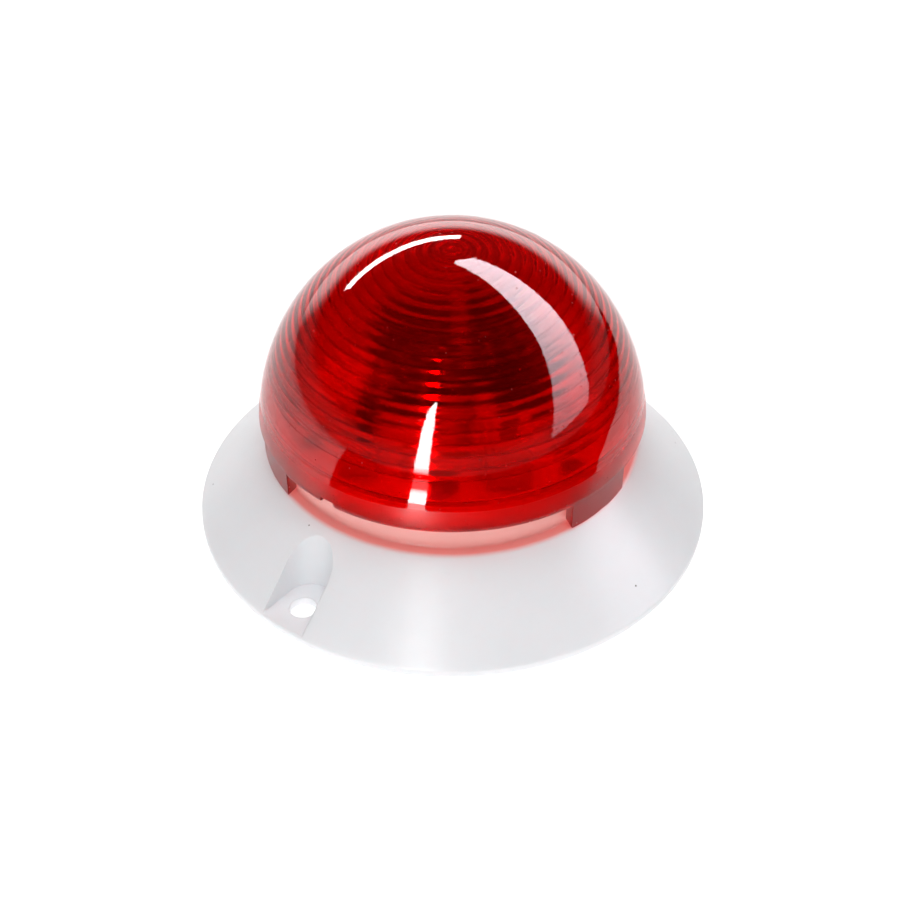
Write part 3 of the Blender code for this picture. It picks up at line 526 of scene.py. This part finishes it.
def make_white_plastic():
    paint = Paint("white_abs")
    broad = paint.noise(60.0, 3.0)
    fine = paint.noise(6500.0, 2.0)
    streak = paint.noise(520.0, 5.0, 0.65, stretch=(1.0, 1.0, 5.0))
    tint = paint.blend(paint.spread(broad, 0.0, 1.0), (0.835, 0.848, 0.868), (0.865, 0.878, 0.900))
    grime = paint.spread(streak, 0.0, 0.10, 0.60, 0.80)
    tint = paint.blend(grime, tint, (0.62, 0.60, 0.58))
    tint = paint.blend(paint.specks(420.0, 0.075, 0.07), tint, (0.16, 0.14, 0.13))
    # The collar is painted salmon. It stands for red light on white plastic and stays when the lens is off.
    across = paint.maths("POWER", paint.coordinate("X"), 2.0)
    along = paint.maths("POWER", paint.coordinate("Y"), 2.0)
    radius = paint.maths("POWER", paint.maths("ADD", across, along), 0.5)
    collar = paint.spread(radius, 1.0, 0.0, COLLAR_RADIUS + 1.5 * MM, COLLAR_RADIUS + 2.4 * MM)
    above = paint.spread(paint.coordinate("Z"), 0.0, 1.0, CONE_TOP_Z - 0.8 * MM, CONE_TOP_Z + 0.2 * MM)
    outer_face = paint.maths("GREATER_THAN", radius, COLLAR_RADIUS - 0.5 * MM)
    glow = paint.maths("MULTIPLY", paint.maths("MULTIPLY", collar, above), outer_face)
    tint = paint.blend(glow, tint, COLLAR_GLOW)
    paint.link(tint, paint.surface.inputs["Base Color"])
    rough = paint.maths("ADD", paint.spread(streak, 0.28, 0.38), paint.maths("MULTIPLY", grime, 0.8))
    paint.link(rough, paint.surface.inputs["Roughness"])
    paint.set(Specular_IOR_Level=0.40, Subsurface_Weight=0.5, Subsurface_Scale=2.0 * MM)
    paint.surface.inputs["Subsurface Radius"].default_value = (1.0, 0.8, 0.8)
    paint.bump(paint.maths("ADD", fine, paint.maths("MULTIPLY", streak, 0.6)), 0.006 * MM, 1.0, 0.30 * MM)
    return paint.material


# Lens.
def rib_points():
    """The lens's ribbed inner side, from the plain band up to the crown. The ribs are a soft wave."""
    steps_per_rib = 8
    points = []
    for step in range(RIB_COUNT * steps_per_rib):
        turn = RIB_FOOT_TURN * (1 - step / (RIB_COUNT * steps_per_rib))
        across = (step % steps_per_rib) / steps_per_rib
        bulge = RIB_DEPTH * 0.5 * (1 - math.cos(2 * math.pi * across))
        normal = Vector((math.sin(turn) / LENS_INNER_RADIUS, math.cos(turn) / LENS_INNER_HEIGHT)).normalized()
        radius = LENS_INNER_RADIUS * math.sin(turn) - normal.x * bulge
        z = LENS_CENTRE_Z + LENS_INNER_HEIGHT * math.cos(turn) - normal.y * bulge
        points.append((radius, z))
    points.append((0.0, LENS_CENTRE_Z + LENS_INNER_HEIGHT))
    return points


def tab_outline(half_width):
    steps = 12
    outline = []
    for radius, start, end in (
        (TAB_OUTER_RADIUS, -half_width, half_width),
        (TAB_INNER_RADIUS, half_width, -half_width),
    ):
        for step in range(steps + 1):
            turn = start + (end - start) * step / steps - math.pi / 2
            outline.append((radius * math.cos(turn), radius * math.sin(turn)))
    return outline


def make_tab(name, seed):
    """A tab with a chamfer along its inner bottom edge and an uneven moulding flash along its outer one."""
    draw = random.Random(seed)
    mesh = prism(name, tab_outline(TAB_HALF_WIDTH), TAB_BOTTOM_Z + 0.15 * MM, LENS_RIM_Z + 0.8 * MM)
    chamfer = 0.9 * MM
    shape = bmesh.new()
    shape.from_mesh(mesh)
    for vertex in shape.verts:
        low = vertex.co.z < TAB_BOTTOM_Z + 1.0 * MM
        inner = vertex.co.xy.length < TAB_INNER_RADIUS + 0.2 * MM
        if low and inner:
            vertex.co.z += chamfer
        elif low:
            vertex.co.z -= draw.uniform(0.0, 0.15) * MM
    bmesh.ops.triangulate(shape, faces=[face for face in shape.faces if len(face.verts) > 4])
    shape.to_mesh(mesh)
    shape.free()
    return mesh


def make_lens():
    outside = ellipse_points(LENS_RADIUS, LENS_HEIGHT, CROWN_Z, LENS_RIM_Z + 0.5 * MM, 110)
    outside[0] = (0.0, CROWN_Z)
    edge = outside[-1][0]
    rim = [
        (edge - 0.08 * MM, LENS_RIM_Z + 0.2 * MM),
        (edge - 0.3 * MM, LENS_RIM_Z),
        (SKIRT_INNER_RADIUS + 0.1 * MM, LENS_RIM_Z),
        (SKIRT_INNER_RADIUS, LENS_RIM_Z + 0.1 * MM),
    ]
    seat = [(SKIRT_INNER_RADIUS, SEAT_Z - 0.9 * MM), (SKIRT_INNER_RADIUS - 0.08 * MM, SEAT_Z - 0.4 * MM)]
    band = ellipse_points(LENS_INNER_RADIUS, LENS_INNER_HEIGHT, SEAT_Z, RIB_FOOT_Z, 10)[:-1]
    mesh = lathe("lens_moulding", outside + rim + seat + band + rib_points(), LENS_SEGMENTS)
    changes = []
    for index, azimuth in enumerate(TAB_AZIMUTHS):
        turn = Matrix.Rotation(math.radians(azimuth), 4, "Z")
        changes.append(("UNION", make_tab(f"tab_{index}", 5 + index), turn))
    half = NOTCH_WIDTH / 2
    slope = 1.0 * MM
    notch = prism("notch", rectangle(-half, half, -3 * MM, 3 * MM), -3 * MM, NOTCH_DEPTH)
    for vertex in notch.vertices:
        if vertex.co.x > 0 and vertex.co.z > 0:
            vertex.co.x -= slope
    place = Matrix.Translation(around(NOTCH_AZIMUTH, 36.0 * MM, LENS_RIM_Z))
    changes.append(("DIFFERENCE", notch, place @ Matrix.Rotation(math.radians(NOTCH_AZIMUTH), 4, "Z")))
    mesh = combine(mesh, changes)
    smooth(mesh, 28.0)
    add_piece("lens_moulding", mesh, "lens", "red_lens", "lens_dome")
    mesh.materials.clear()
    mesh.materials.append(make_red_lens())


# Base.
def cone_radius(z):
    fall = (z - LIP_HEIGHT) / (CONE_TOP_Z - LIP_HEIGHT)
    return LIP_TOP_RADIUS + (CONE_TOP_RADIUS - LIP_TOP_RADIUS) * fall


def rounded(points, radius, steps=4):
    """Rounds the inner corners of an open (r, z) outline."""
    made = [points[0]]
    for before, corner, after in zip(points, points[1:], points[2:]):
        here = Vector(corner)
        back, ahead = Vector(before) - here, Vector(after) - here
        reach = min(radius, back.length * 0.45, ahead.length * 0.45)
        start, end = here + back.normalized() * reach, here + ahead.normalized() * reach
        for step in range(steps + 1):
            share = step / steps
            spot = start * (1 - share) ** 2 + here * 2 * share * (1 - share) + end * share**2
            made.append((spot.x, spot.y))
    made.append(points[-1])
    return made


def base_outline():
    inner = COLLAR_RADIUS - COLLAR_WALL
    outline = rounded(
        [
            (inner - 3 * MM, FLOOR_TOP_Z),
            (inner, FLOOR_TOP_Z),
            (inner, COLLAR_TOP_Z),
            (COLLAR_RADIUS, COLLAR_TOP_Z),
            (COLLAR_RADIUS, CONE_TOP_Z + 0.2 * MM),
            (CONE_TOP_RADIUS - 0.3 * MM, CONE_TOP_Z + 0.2 * MM),
            (cone_radius(CONE_TOP_Z - 0.6 * MM), CONE_TOP_Z - 0.6 * MM),
            (LIP_TOP_RADIUS, LIP_HEIGHT),
            (BASE_RADIUS - 0.02 * MM, LIP_HEIGHT - 0.4 * MM),
            (BASE_RADIUS, 0.0),
            (BASE_RADIUS - 2 * MM, 0.0),
        ],
        0.45 * MM,
    )
    return [(0.0, FLOOR_TOP_Z)] + outline + [(0.0, 0.0)]


def u_outline(radius, reach):
    steps = 32
    arc = []
    for step in range(steps + 1):
        turn = math.pi * step / steps
        arc.append((radius * math.cos(turn), radius * math.sin(turn) - POCKET_CENTRE))
    return arc + [(-radius, -reach), (radius, -reach)]


def disc_tool(name, radius, bottom, top, segments=48):
    return lathe(name, [(0.0, top), (radius, top), (radius, bottom), (0.0, bottom)], segments)


def flat(place):
    return Matrix.Translation((place.x, place.y, 0.0))


def make_base():
    mesh = lathe("base_moulding", base_outline(), BASE_SEGMENTS)
    roof_z = FLOOR_TOP_Z - FLOOR_THICKNESS
    slope = (LIP_TOP_RADIUS - CONE_TOP_RADIUS) / (CONE_TOP_Z - LIP_HEIGHT)
    side_step = SKIN * math.sqrt(1 + slope * slope)
    below = -1.0 * MM
    hollow = lathe(
        "hollow",
        [
            (0.0, roof_z),
            (cone_radius(roof_z) - side_step, roof_z),
            (cone_radius(LIP_HEIGHT) - side_step, LIP_HEIGHT),
            (cone_radius(LIP_HEIGHT) - side_step, below),
            (0.0, below),
        ],
        BASE_SEGMENTS,
    )
    reach = BASE_RADIUS + 10 * MM
    walls, pockets = [], []
    for azimuth in POCKET_AZIMUTHS:
        turn = Matrix.Rotation(math.radians(azimuth), 4, "Z")
        wall = prism("wall", u_outline(POCKET_RADIUS + POCKET_WALL, reach), -2 * MM, 20 * MM)
        walls.append(("DIFFERENCE", wall, turn))
        pocket = prism("pocket", u_outline(POCKET_RADIUS, reach), POCKET_FLOOR_Z, 30 * MM)
        pockets.append(("DIFFERENCE", pocket, turn))
        hole = disc_tool("hole", FIXING_HOLE_RADIUS, below, 4 * MM)
        pockets.append(("DIFFERENCE", hole, Matrix.Translation(around(azimuth, FIXING_HOLE_CENTRE))))
    hollow = combine(hollow, walls)
    changes = []
    for place in SCREW_PLACES:
        pillar = disc_tool("pillar", 3.2 * MM, FLOOR_TOP_Z - 1 * MM, BOARD_BOTTOM_Z - 0.3 * MM)
        changes.append(("UNION", pillar, flat(place)))
    changes.append(("DIFFERENCE", hollow, Matrix.Identity(4)))
    guide = disc_tool("guide", 3.4 * MM, 3.0 * MM, FLOOR_TOP_Z - 1 * MM)
    changes.append(("UNION", guide, flat(TAMPER_PLACE)))
    changes += pockets
    for place in SCREW_PLACES:
        changes.append(("DIFFERENCE", disc_tool("pilot", 1.4 * MM, 13.1 * MM, 20 * MM), flat(place)))
    entry = disc_tool("entry", GROMMET_HOLE_RADIUS, 9 * MM, 14 * MM)
    changes.append(("DIFFERENCE", entry, flat(GROMMET_PLACE)))
    bore = disc_tool("bore", PLUNGER_BORE, below, 14 * MM)
    changes.append(("DIFFERENCE", bore, flat(TAMPER_PLACE)))
    mesh = combine(mesh, changes)
    smooth(mesh, 30.0)
    add_piece("base_moulding", mesh, "base", "white_plastic", "base_housing")
    mesh.materials.clear()
    mesh.materials.append(make_white_plastic())


# Finishes of the pieces that keep their CAD shape.
def middle_of(node_name):
    low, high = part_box(node_name)
    return (low + high) / 2


def add_bands(paint, axis, centre, bands):
    """Painted rings round a part that lies along an axis: (offset, half width, colour) each."""
    colour_socket = paint.surface.inputs["Base Color"]
    current = colour_socket.links[0].from_socket
    place = paint.coordinate(axis)
    for offset, half_width, colour in bands:
        away = paint.maths("ABSOLUTE", paint.maths("SUBTRACT", place, centre + offset))
        ring = paint.maths("LESS_THAN", away, half_width)
        current = paint.blend(ring, current, colour)
    paint.link(current, colour_socket)


def slot_nodes():
    """The nodes that each material slot of the record is used on."""
    found = {}
    for item in frame["record"]["subparts"]:
        found.setdefault(item["material_slot"], []).append(item["node"])
    return found


def paint_nodes():
    made = {}
    for slot_name, names in slot_nodes().items():
        if slot_name not in FINISHES:
            continue
        colour, roughness, metallic, mottle = FINISHES[slot_name]
        paint = moulded(slot_name, colour, roughness, metallic, mottle)
        if slot_name == "clear_glass":
            paint.set(Transmission_Weight=1.0, IOR=GLASS_IOR)
        made[slot_name] = paint.material
        for name in names:
            node = nodes[name]
            node.data.materials.clear()
            node.data.materials.append(paint.material)
    return made


def band_resistor(node_name, colours):
    colour, roughness = FINISHES["resistor_coat"][:2]
    paint = moulded(node_name + "_coat", colour, roughness)
    offsets = [(-1.5 + 0.85 * index) * MM for index in range(len(colours))]
    bands = [(offset, 0.22 * MM, colour) for offset, colour in zip(offsets, colours)]
    add_bands(paint, "Y", middle_of(node_name).y, bands)
    node = nodes[node_name]
    node.data.materials.clear()
    node.data.materials.append(paint.material)


def piece_with(name, parts, slot_name, degrees=35.0):
    """One piece from several closed meshes, each moved by its matrix."""
    shape = bmesh.new()
    for mesh, matrix in parts:
        mesh.transform(matrix)
        shape.from_mesh(mesh)
        bpy.data.meshes.remove(mesh)
    mesh = bpy.data.meshes.new(name)
    shape.to_mesh(mesh)
    shape.free()
    smooth(mesh, degrees)
    mesh.materials.append(PAINTS[slot_name])
    return add_piece(name, mesh, "base", slot_name)


def solder_joint(name, radius=0.95 * MM, height=0.75 * MM):
    """A cone of solder with a hollow flank."""
    profile = [(0.0, height), (radius * 0.30, height * 0.96), (radius * 0.38, height * 0.6)]
    profile += [(radius * 0.6, height * 0.25), (radius, height * 0.05), (radius, 0.0), (0.0, 0.0)]
    return lathe(name, profile, 20)


def ring(name, radius, wire, segments=40, steps=8):
    turns = [2 * math.pi * step / steps for step in range(steps)]
    return lathe(name, [(radius + wire * math.cos(t), wire * math.sin(t)) for t in turns], segments)


def make_solder():
    """Joints above and below the board, at the leads of the resistors, the diode and the transistor."""
    spots = []
    for node_name, reach in (("gate_resistor", 3.9), ("bleed_resistor", 3.9)):
        spot = middle_of(node_name)
        spots += [Vector((spot.x, spot.y + side * reach * MM, 0.0)) for side in (-1, 1)]
    spot = middle_of("rectifier_diode")
    spots += [Vector((spot.x + side * 4.3 * MM, spot.y, 0.0)) for side in (-1, 1)]
    spot = middle_of("switching_transistor")
    spots += [Vector((spot.x + pin * 1.27 * MM, spot.y, 0.0)) for pin in (-1.4, 0, 1.4)]
    low_turn = Matrix.Rotation(math.pi, 4, "X")
    parts = []
    for index, spot in enumerate(spots):
        size = 0.62 * MM if index >= len(spots) - 3 else 0.95 * MM
        top = Matrix.Translation((spot.x, spot.y, BOARD_TOP_Z))
        parts.append((solder_joint("joint", size, 0.28 * MM), top))
        under = Matrix.Translation((spot.x, spot.y, BOARD_BOTTOM_Z)) @ low_turn
        parts.append((solder_joint("joint", size, 0.75 * MM), under))
    piece_with("solder_joints", parts, "tinned_metal")


def make_darkening_sheet():
    """A black sheet laid on the board's rear part, which darkens the inside there."""
    outline = []
    corner = 3.0 * MM
    corners = (
        (SHEET_RIGHT, SHEET_BACK, 0),
        (SHEET_LEFT, SHEET_BACK, 90),
        (SHEET_LEFT, SHEET_FRONT, 180),
        (SHEET_RIGHT, SHEET_FRONT, 270),
    )
    for x, y, start in corners:
        middle_x = x - corner if x > 0 else x + corner
        middle_y = y - corner if start < 180 else y + corner
        for step in range(7):
            turn = math.radians(start + 15 * step)
            outline.append((middle_x + corner * math.cos(turn), middle_y + corner * math.sin(turn)))
    mesh = prism("darkening_sheet", outline, BOARD_TOP_Z + 0.02 * MM, BOARD_TOP_Z + 0.24 * MM)
    cuts = []
    for place in SCREW_PLACES:
        cuts.append(("DIFFERENCE", disc_tool("cut", 3.0 * MM, *SHEET_CUT), flat(place)))
    for node_name in ("tube_lead_left", "tube_lead_right"):
        low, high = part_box(node_name)
        spot = low if "left" in node_name else high
        cuts.append(("DIFFERENCE", disc_tool("cut", 1.9 * MM, *SHEET_CUT), flat(spot)))
    mesh = combine(mesh, cuts)
    smooth(mesh)
    mesh.materials.clear()
    mesh.materials.append(PAINTS["sleeve_black"])
    add_piece("darkening_sheet", mesh, "base", "sleeve_black")


def make_windings():
    """Turns of wire on the trigger coil."""
    place = middle_of("trigger_coil")
    low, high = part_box("trigger_coil")
    wire = 0.16 * MM
    bottom, top = low.z + 1.4 * MM, high.z - 1.2 * MM
    count = int((top - bottom) / (2 * wire))
    parts = []
    for turn in range(count + 1):
        z = bottom + (top - bottom) * turn / count
        parts.append((ring("turn", 3.15 * MM, wire), Matrix.Translation((place.x, place.y, z))))
    piece_with("trigger_coil_turns", parts, "copper_winding", 60.0)


def make_capacitor_top():
    """The can's bare end, with its pressed vent lines standing proud of the recess."""
    low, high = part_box("storage_capacitor")
    place = (low + high) / 2
    edge = [(0.0, 0.22 * MM), (4.5 * MM, 0.22 * MM), (4.75 * MM, 0.0), (0.0, 0.0)]
    disc = lathe("disc", rounded(edge, 0.1 * MM), 48)
    parts = [(disc, Matrix.Translation((place.x, place.y, high.z - 0.29 * MM)))]
    for turn in (0, 60, 120):
        bar = prism("bar", rectangle(-3.4 * MM, 3.4 * MM, -0.14 * MM, 0.14 * MM), 0.0, 0.08 * MM)
        spin = Matrix.Rotation(math.radians(turn), 4, "Z")
        parts.append((bar, Matrix.Translation((place.x, place.y, high.z - 0.08 * MM)) @ spin))
    piece_with("capacitor_end", parts, "tinned_metal")


def make_electrodes():
    """Electrodes inside the ends of the glass."""
    left, right = middle_of("tube_cap_left"), middle_of("tube_cap_right")
    along = (right - left).normalized()
    parts = []
    for end, side in ((left, 1), (right, -1)):
        axis = (along * side).to_track_quat("Z", "Y").to_matrix().to_4x4()
        profile = [(0.0, 5.2 * MM), (0.55 * MM, 5.1 * MM), (0.75 * MM, 4.8 * MM), (0.75 * MM, 3.4 * MM)]
        profile += [(0.35 * MM, 3.3 * MM), (0.35 * MM, 2.2 * MM), (0.0, 2.2 * MM)]
        parts.append((lathe("electrode", profile, 20), Matrix.Translation(end) @ axis))
    piece_with("tube_electrodes", parts, "zinc_steel")


def make_tracks():
    """Tracks that stand just proud under the white mask. They aren't a real circuit."""
    width, height = 0.35 * MM, 0.05 * MM
    parts = []
    for index, (first_name, second_name) in enumerate(TRACK_PAIRS):
        first, second = middle_of(first_name), middle_of(second_name)
        shift = (index % 3 - 1) * 0.9 * MM
        corner = Vector((second.x + shift, first.y + shift, 0.0))
        for end in (first, second):
            span = Vector((end.x, end.y, 0.0)) - corner
            level = abs(span.x) > abs(span.y)
            reach = span.x if level else span.y
            low, high = min(0.0, reach) - width, max(0.0, reach) + width
            outline = rectangle(low, high, -width, width) if level else rectangle(-width, width, low, high)
            track = prism("track", outline, BOARD_TOP_Z, BOARD_TOP_Z + height)
            parts.append((track, Matrix.Translation(corner)))
    piece_with("board_tracks", parts, "board_laminate")


# Stage: floor, lamps and camera.
def make_floor():
    shape = bmesh.new()
    bmesh.ops.create_circle(shape, cap_ends=True, segments=96, radius=4.0)
    mesh = bpy.data.meshes.new("floor")
    shape.to_mesh(mesh)
    shape.free()
    floor = bpy.data.objects.new("floor", mesh)
    bpy.context.scene.collection.objects.link(floor)
    floor.location.z = -FLOOR_GAP
    paint = Paint("floor_white")
    tint = paint.blend(paint.noise(3.0), (0.93, 0.93, 0.93), (0.95, 0.95, 0.95))
    paint.link(tint, paint.surface.inputs["Base Color"])
    paint.set(Roughness=0.9, Specular_IOR_Level=0.1)
    paint.set(Emission_Color=(1.0, 1.0, 1.0, 1.0), Emission_Strength=PAPER_GLOW)
    mesh.materials.append(paint.material)
    # The paper seen through the lens is dimmer, most of all behind the siren.
    path = paint.node("ShaderNodeLightPath")
    behind = paint.spread(paint.coordinate("Y"), *DIMMED_PAPER, 0.02, 0.09)
    dim = paint.maths("MULTIPLY", path.outputs["Is Transmission Ray"], behind)
    shade_card = paint.node("ShaderNodeBsdfDiffuse")
    shade_card.inputs["Color"].default_value = (0.02, 0.02, 0.02, 1.0)
    mix = paint.node("ShaderNodeMixShader")
    paint.link(dim, mix.inputs["Fac"])
    paint.link(paint.surface.outputs["BSDF"], mix.inputs[1])
    paint.link(shade_card.outputs["BSDF"], mix.inputs[2])
    paint.link(mix.outputs["Shader"], paint.output.inputs["Surface"])


def make_lamp(name, rows, strength, colour=(1.0, 1.0, 1.0), inside=True):
    """A lamp that shows in the gloss and, where inside is set, through the lens.

    Each row holds its two edge points and its share of the strength.
    """
    points, shares = [], []
    for left, right, share in rows:
        points += [tuple(left), tuple(right)]
        shares += [share, share]
    faces = [(2 * row, 2 * row + 1, 2 * row + 3, 2 * row + 2) for row in range(len(rows) - 1)]
    mesh = bpy.data.meshes.new(name)
    mesh.from_pydata(points, [], faces)
    layer = mesh.uv_layers.new(name="Share")
    for loop in mesh.loops:
        layer.data[loop.index].uv = (shares[loop.vertex_index], 0.5)
    lamp = bpy.data.objects.new(name, mesh)
    bpy.context.scene.collection.objects.link(lamp)
    material = bpy.data.materials.new(name)
    material.use_nodes = True
    tree = material.node_tree
    tree.nodes.remove(tree.nodes["Principled BSDF"])
    glow = tree.nodes.new("ShaderNodeEmission")
    glow.inputs["Color"].default_value = (*colour, 1.0)
    uv = tree.nodes.new("ShaderNodeUVMap")
    uv.uv_map = "Share"
    split = tree.nodes.new("ShaderNodeSeparateXYZ")
    tree.links.new(uv.outputs["UV"], split.inputs["Vector"])
    power = tree.nodes.new("ShaderNodeMath")
    power.operation = "MULTIPLY"
    power.inputs[1].default_value = strength
    tree.links.new(split.outputs["X"], power.inputs[0])
    tree.links.new(power.outputs["Value"], glow.inputs["Strength"])
    tree.links.new(glow.outputs["Emission"], tree.nodes["Material Output"].inputs["Surface"])
    mesh.materials.append(material)
    lamp.visible_camera = False
    lamp.visible_diffuse = False
    lamp.visible_transmission = inside
    return lamp


def aimed(rows):
    """Rows of lamp edges, given as (azimuth, elevation) directions from the stage centre, as points."""
    made = []
    for left, right, share in rows:
        ends = [STAGE_CENTRE + LAMP_DISTANCE * direction(*turns) for turns in (left, right)]
        made.append((*ends, share))
    return made


def make_flag():
    """A black card on the floor round the white paper, seen only in the gloss."""
    points = []
    for azimuth, radius in FLAG_EDGE:
        points += [tuple(around(azimuth, radius, FLAG_Z)), tuple(around(azimuth, FLAG_RIM, FLAG_Z))]
    faces = [(2 * step, 2 * step + 1, 2 * step + 3, 2 * step + 2) for step in range(len(FLAG_EDGE) - 1)]
    mesh = bpy.data.meshes.new("black_flag")
    mesh.from_pydata(points, [], faces)
    flag = bpy.data.objects.new("black_flag", mesh)
    bpy.context.scene.collection.objects.link(flag)
    paint = Paint("flag_black")
    paint.set(Base_Color=(0.004, 0.004, 0.004, 1.0), Roughness=1.0, Specular_IOR_Level=0.0)
    mesh.materials.append(paint.material)
    flag.visible_camera = False
    flag.visible_shadow = False
    flag.visible_diffuse = False
    flag.visible_transmission = False


def make_overhead():
    data = bpy.data.lights.new("overhead", "AREA")
    data.shape = "DISK"
    data.size = 1.6
    data.energy = OVERHEAD_WATTS
    lamp = bpy.data.objects.new("overhead", data)
    bpy.context.scene.collection.objects.link(lamp)
    lamp.location = (0.1, 0.1, 1.3)
    lamp.visible_glossy = False
    lamp.visible_transmission = False
    lamp.visible_camera = False


def make_fill():
    """A wide soft window low at the front, which lights the pocket walls and the lip."""
    data = bpy.data.lights.new("front_window", "AREA")
    data.shape = "RECTANGLE"
    data.size = 1.1
    data.size_y = 0.5
    data.energy = FILL_WATTS
    lamp = bpy.data.objects.new("front_window", data)
    bpy.context.scene.collection.objects.link(lamp)
    lamp.location = STAGE_CENTRE + 1.0 * direction(-13.0, 27.0)
    lamp.rotation_euler = (STAGE_CENTRE - lamp.location).to_track_quat("-Z", "Y").to_euler()
    lamp.visible_glossy = False
    lamp.visible_transmission = False
    lamp.visible_camera = False


def make_world():
    """White to the camera. All other rays meet a bright low band at the rear under a dark room.

    Rays through the lens meet at least SKY_THROUGH_LENS.
    """
    world = bpy.data.worlds.new("studio")
    bpy.context.scene.world = world
    world.use_nodes = True
    tree = world.node_tree
    tree.nodes.clear()
    place = tree.nodes.new("ShaderNodeTexCoord")
    split = tree.nodes.new("ShaderNodeSeparateXYZ")
    tree.links.new(place.outputs["Generated"], split.inputs["Vector"])
    fade = tree.nodes.new("ShaderNodeMapRange")
    fade.interpolation_type = "SMOOTHSTEP"
    fade.inputs["From Min"].default_value = math.sin(math.radians(SKY_BAND[0]))
    fade.inputs["From Max"].default_value = math.sin(math.radians(SKY_BAND[1]))
    fade.inputs["To Min"].default_value = SKY_LOW
    fade.inputs["To Max"].default_value = SKY_HIGH
    tree.links.new(split.outputs["Z"], fade.inputs["Value"])
    rear = tree.nodes.new("ShaderNodeMapRange")
    rear.interpolation_type = "SMOOTHSTEP"
    rear.inputs["From Min"].default_value, rear.inputs["From Max"].default_value = REAR_BAND
    rear.inputs["To Min"].default_value, rear.inputs["To Max"].default_value = REAR_SHARE
    tree.links.new(split.outputs["Y"], rear.inputs["Value"])
    light = tree.nodes.new("ShaderNodeMath")
    light.operation = "MULTIPLY"
    tree.links.new(fade.outputs["Result"], light.inputs[0])
    tree.links.new(rear.outputs["Result"], light.inputs[1])
    room = tree.nodes.new("ShaderNodeBackground")
    through = tree.nodes.new("ShaderNodeMath")
    through.operation = "MAXIMUM"
    seen = tree.nodes.new("ShaderNodeMath")
    seen.operation = "MULTIPLY"
    seen.inputs[1].default_value = SKY_THROUGH_LENS
    tree.links.new(light.outputs["Value"], through.inputs[0])
    tree.links.new(seen.outputs["Value"], through.inputs[1])
    tree.links.new(through.outputs["Value"], room.inputs["Strength"])
    white = tree.nodes.new("ShaderNodeBackground")
    white.inputs["Strength"].default_value = CAMERA_WHITE
    path = tree.nodes.new("ShaderNodeLightPath")
    tree.links.new(path.outputs["Is Transmission Ray"], seen.inputs[0])
    mix = tree.nodes.new("ShaderNodeMixShader")
    tree.links.new(path.outputs["Is Camera Ray"], mix.inputs["Fac"])
    tree.links.new(room.outputs["Background"], mix.inputs[1])
    tree.links.new(white.outputs["Background"], mix.inputs[2])
    out = tree.nodes.new("ShaderNodeOutputWorld")
    tree.links.new(mix.outputs["Shader"], out.inputs["Surface"])


def make_lamps():
    make_lamp("side_softbox", aimed(CRESCENT), 16.0, (0.96, 0.92, 1.0), False)
    make_lamp("front_strip", aimed(FRONT_STRIP), 32.0)
    foot = [
        (around(-20.2, radius, MM), around(-12.3, radius, MM), share) for radius, share in STRIP_FOOT
    ]
    foot_lamp = make_lamp("front_strip_foot", foot, 32.0)
    # It lies just over the paper, and would shade it.
    foot_lamp.visible_shadow = False
    make_lamp("back_strip", aimed(BACK_STRIP), 22.0, (1.0, 1.0, 1.0), False)
    make_overhead()
    make_fill()
    make_world()


def make_camera():
    data = bpy.data.cameras.new("camera")
    data.sensor_width = 36.0
    data.lens = CAMERA_LENS
    data.clip_start = 0.01
    data.clip_end = 50.0
    camera = bpy.data.objects.new("camera", data)
    bpy.context.scene.collection.objects.link(camera)
    rise = math.radians(CAMERA_ELEVATION)
    pitch, yaw, roll = (math.radians(turn) for turn in (CAMERA_PITCH, CAMERA_YAW, CAMERA_ROLL))
    ahead = Vector((math.sin(yaw) * math.cos(pitch), math.cos(yaw) * math.cos(pitch), -math.sin(pitch)))
    level = Vector((math.cos(yaw), -math.sin(yaw), 0.0))
    upright = level.cross(ahead)
    right = level * math.cos(roll) + upright * math.sin(roll)
    above = upright * math.cos(roll) - level * math.sin(roll)
    spot = Vector((0.0, -CAMERA_DISTANCE * math.cos(rise), CAMERA_DISTANCE * math.sin(rise)))
    basis = Matrix((right, above, -ahead)).transposed().to_4x4()
    camera.matrix_world = Matrix.Translation(spot) @ basis
    bpy.context.scene.camera = camera


make_lens()
make_base()
PAINTS = paint_nodes()
band_resistor("gate_resistor", (BROWN, BLACK, ORANGE, GOLD))
band_resistor("bleed_resistor", (ORANGE, BROWN, GOLD, BROWN))
make_solder()
make_tracks()
make_darkening_sheet()
make_windings()
make_capacitor_top()
make_electrodes()
make_floor()
make_flag()
make_lamps()
make_camera()
bpy.context.scene.view_settings.view_transform = "Standard"
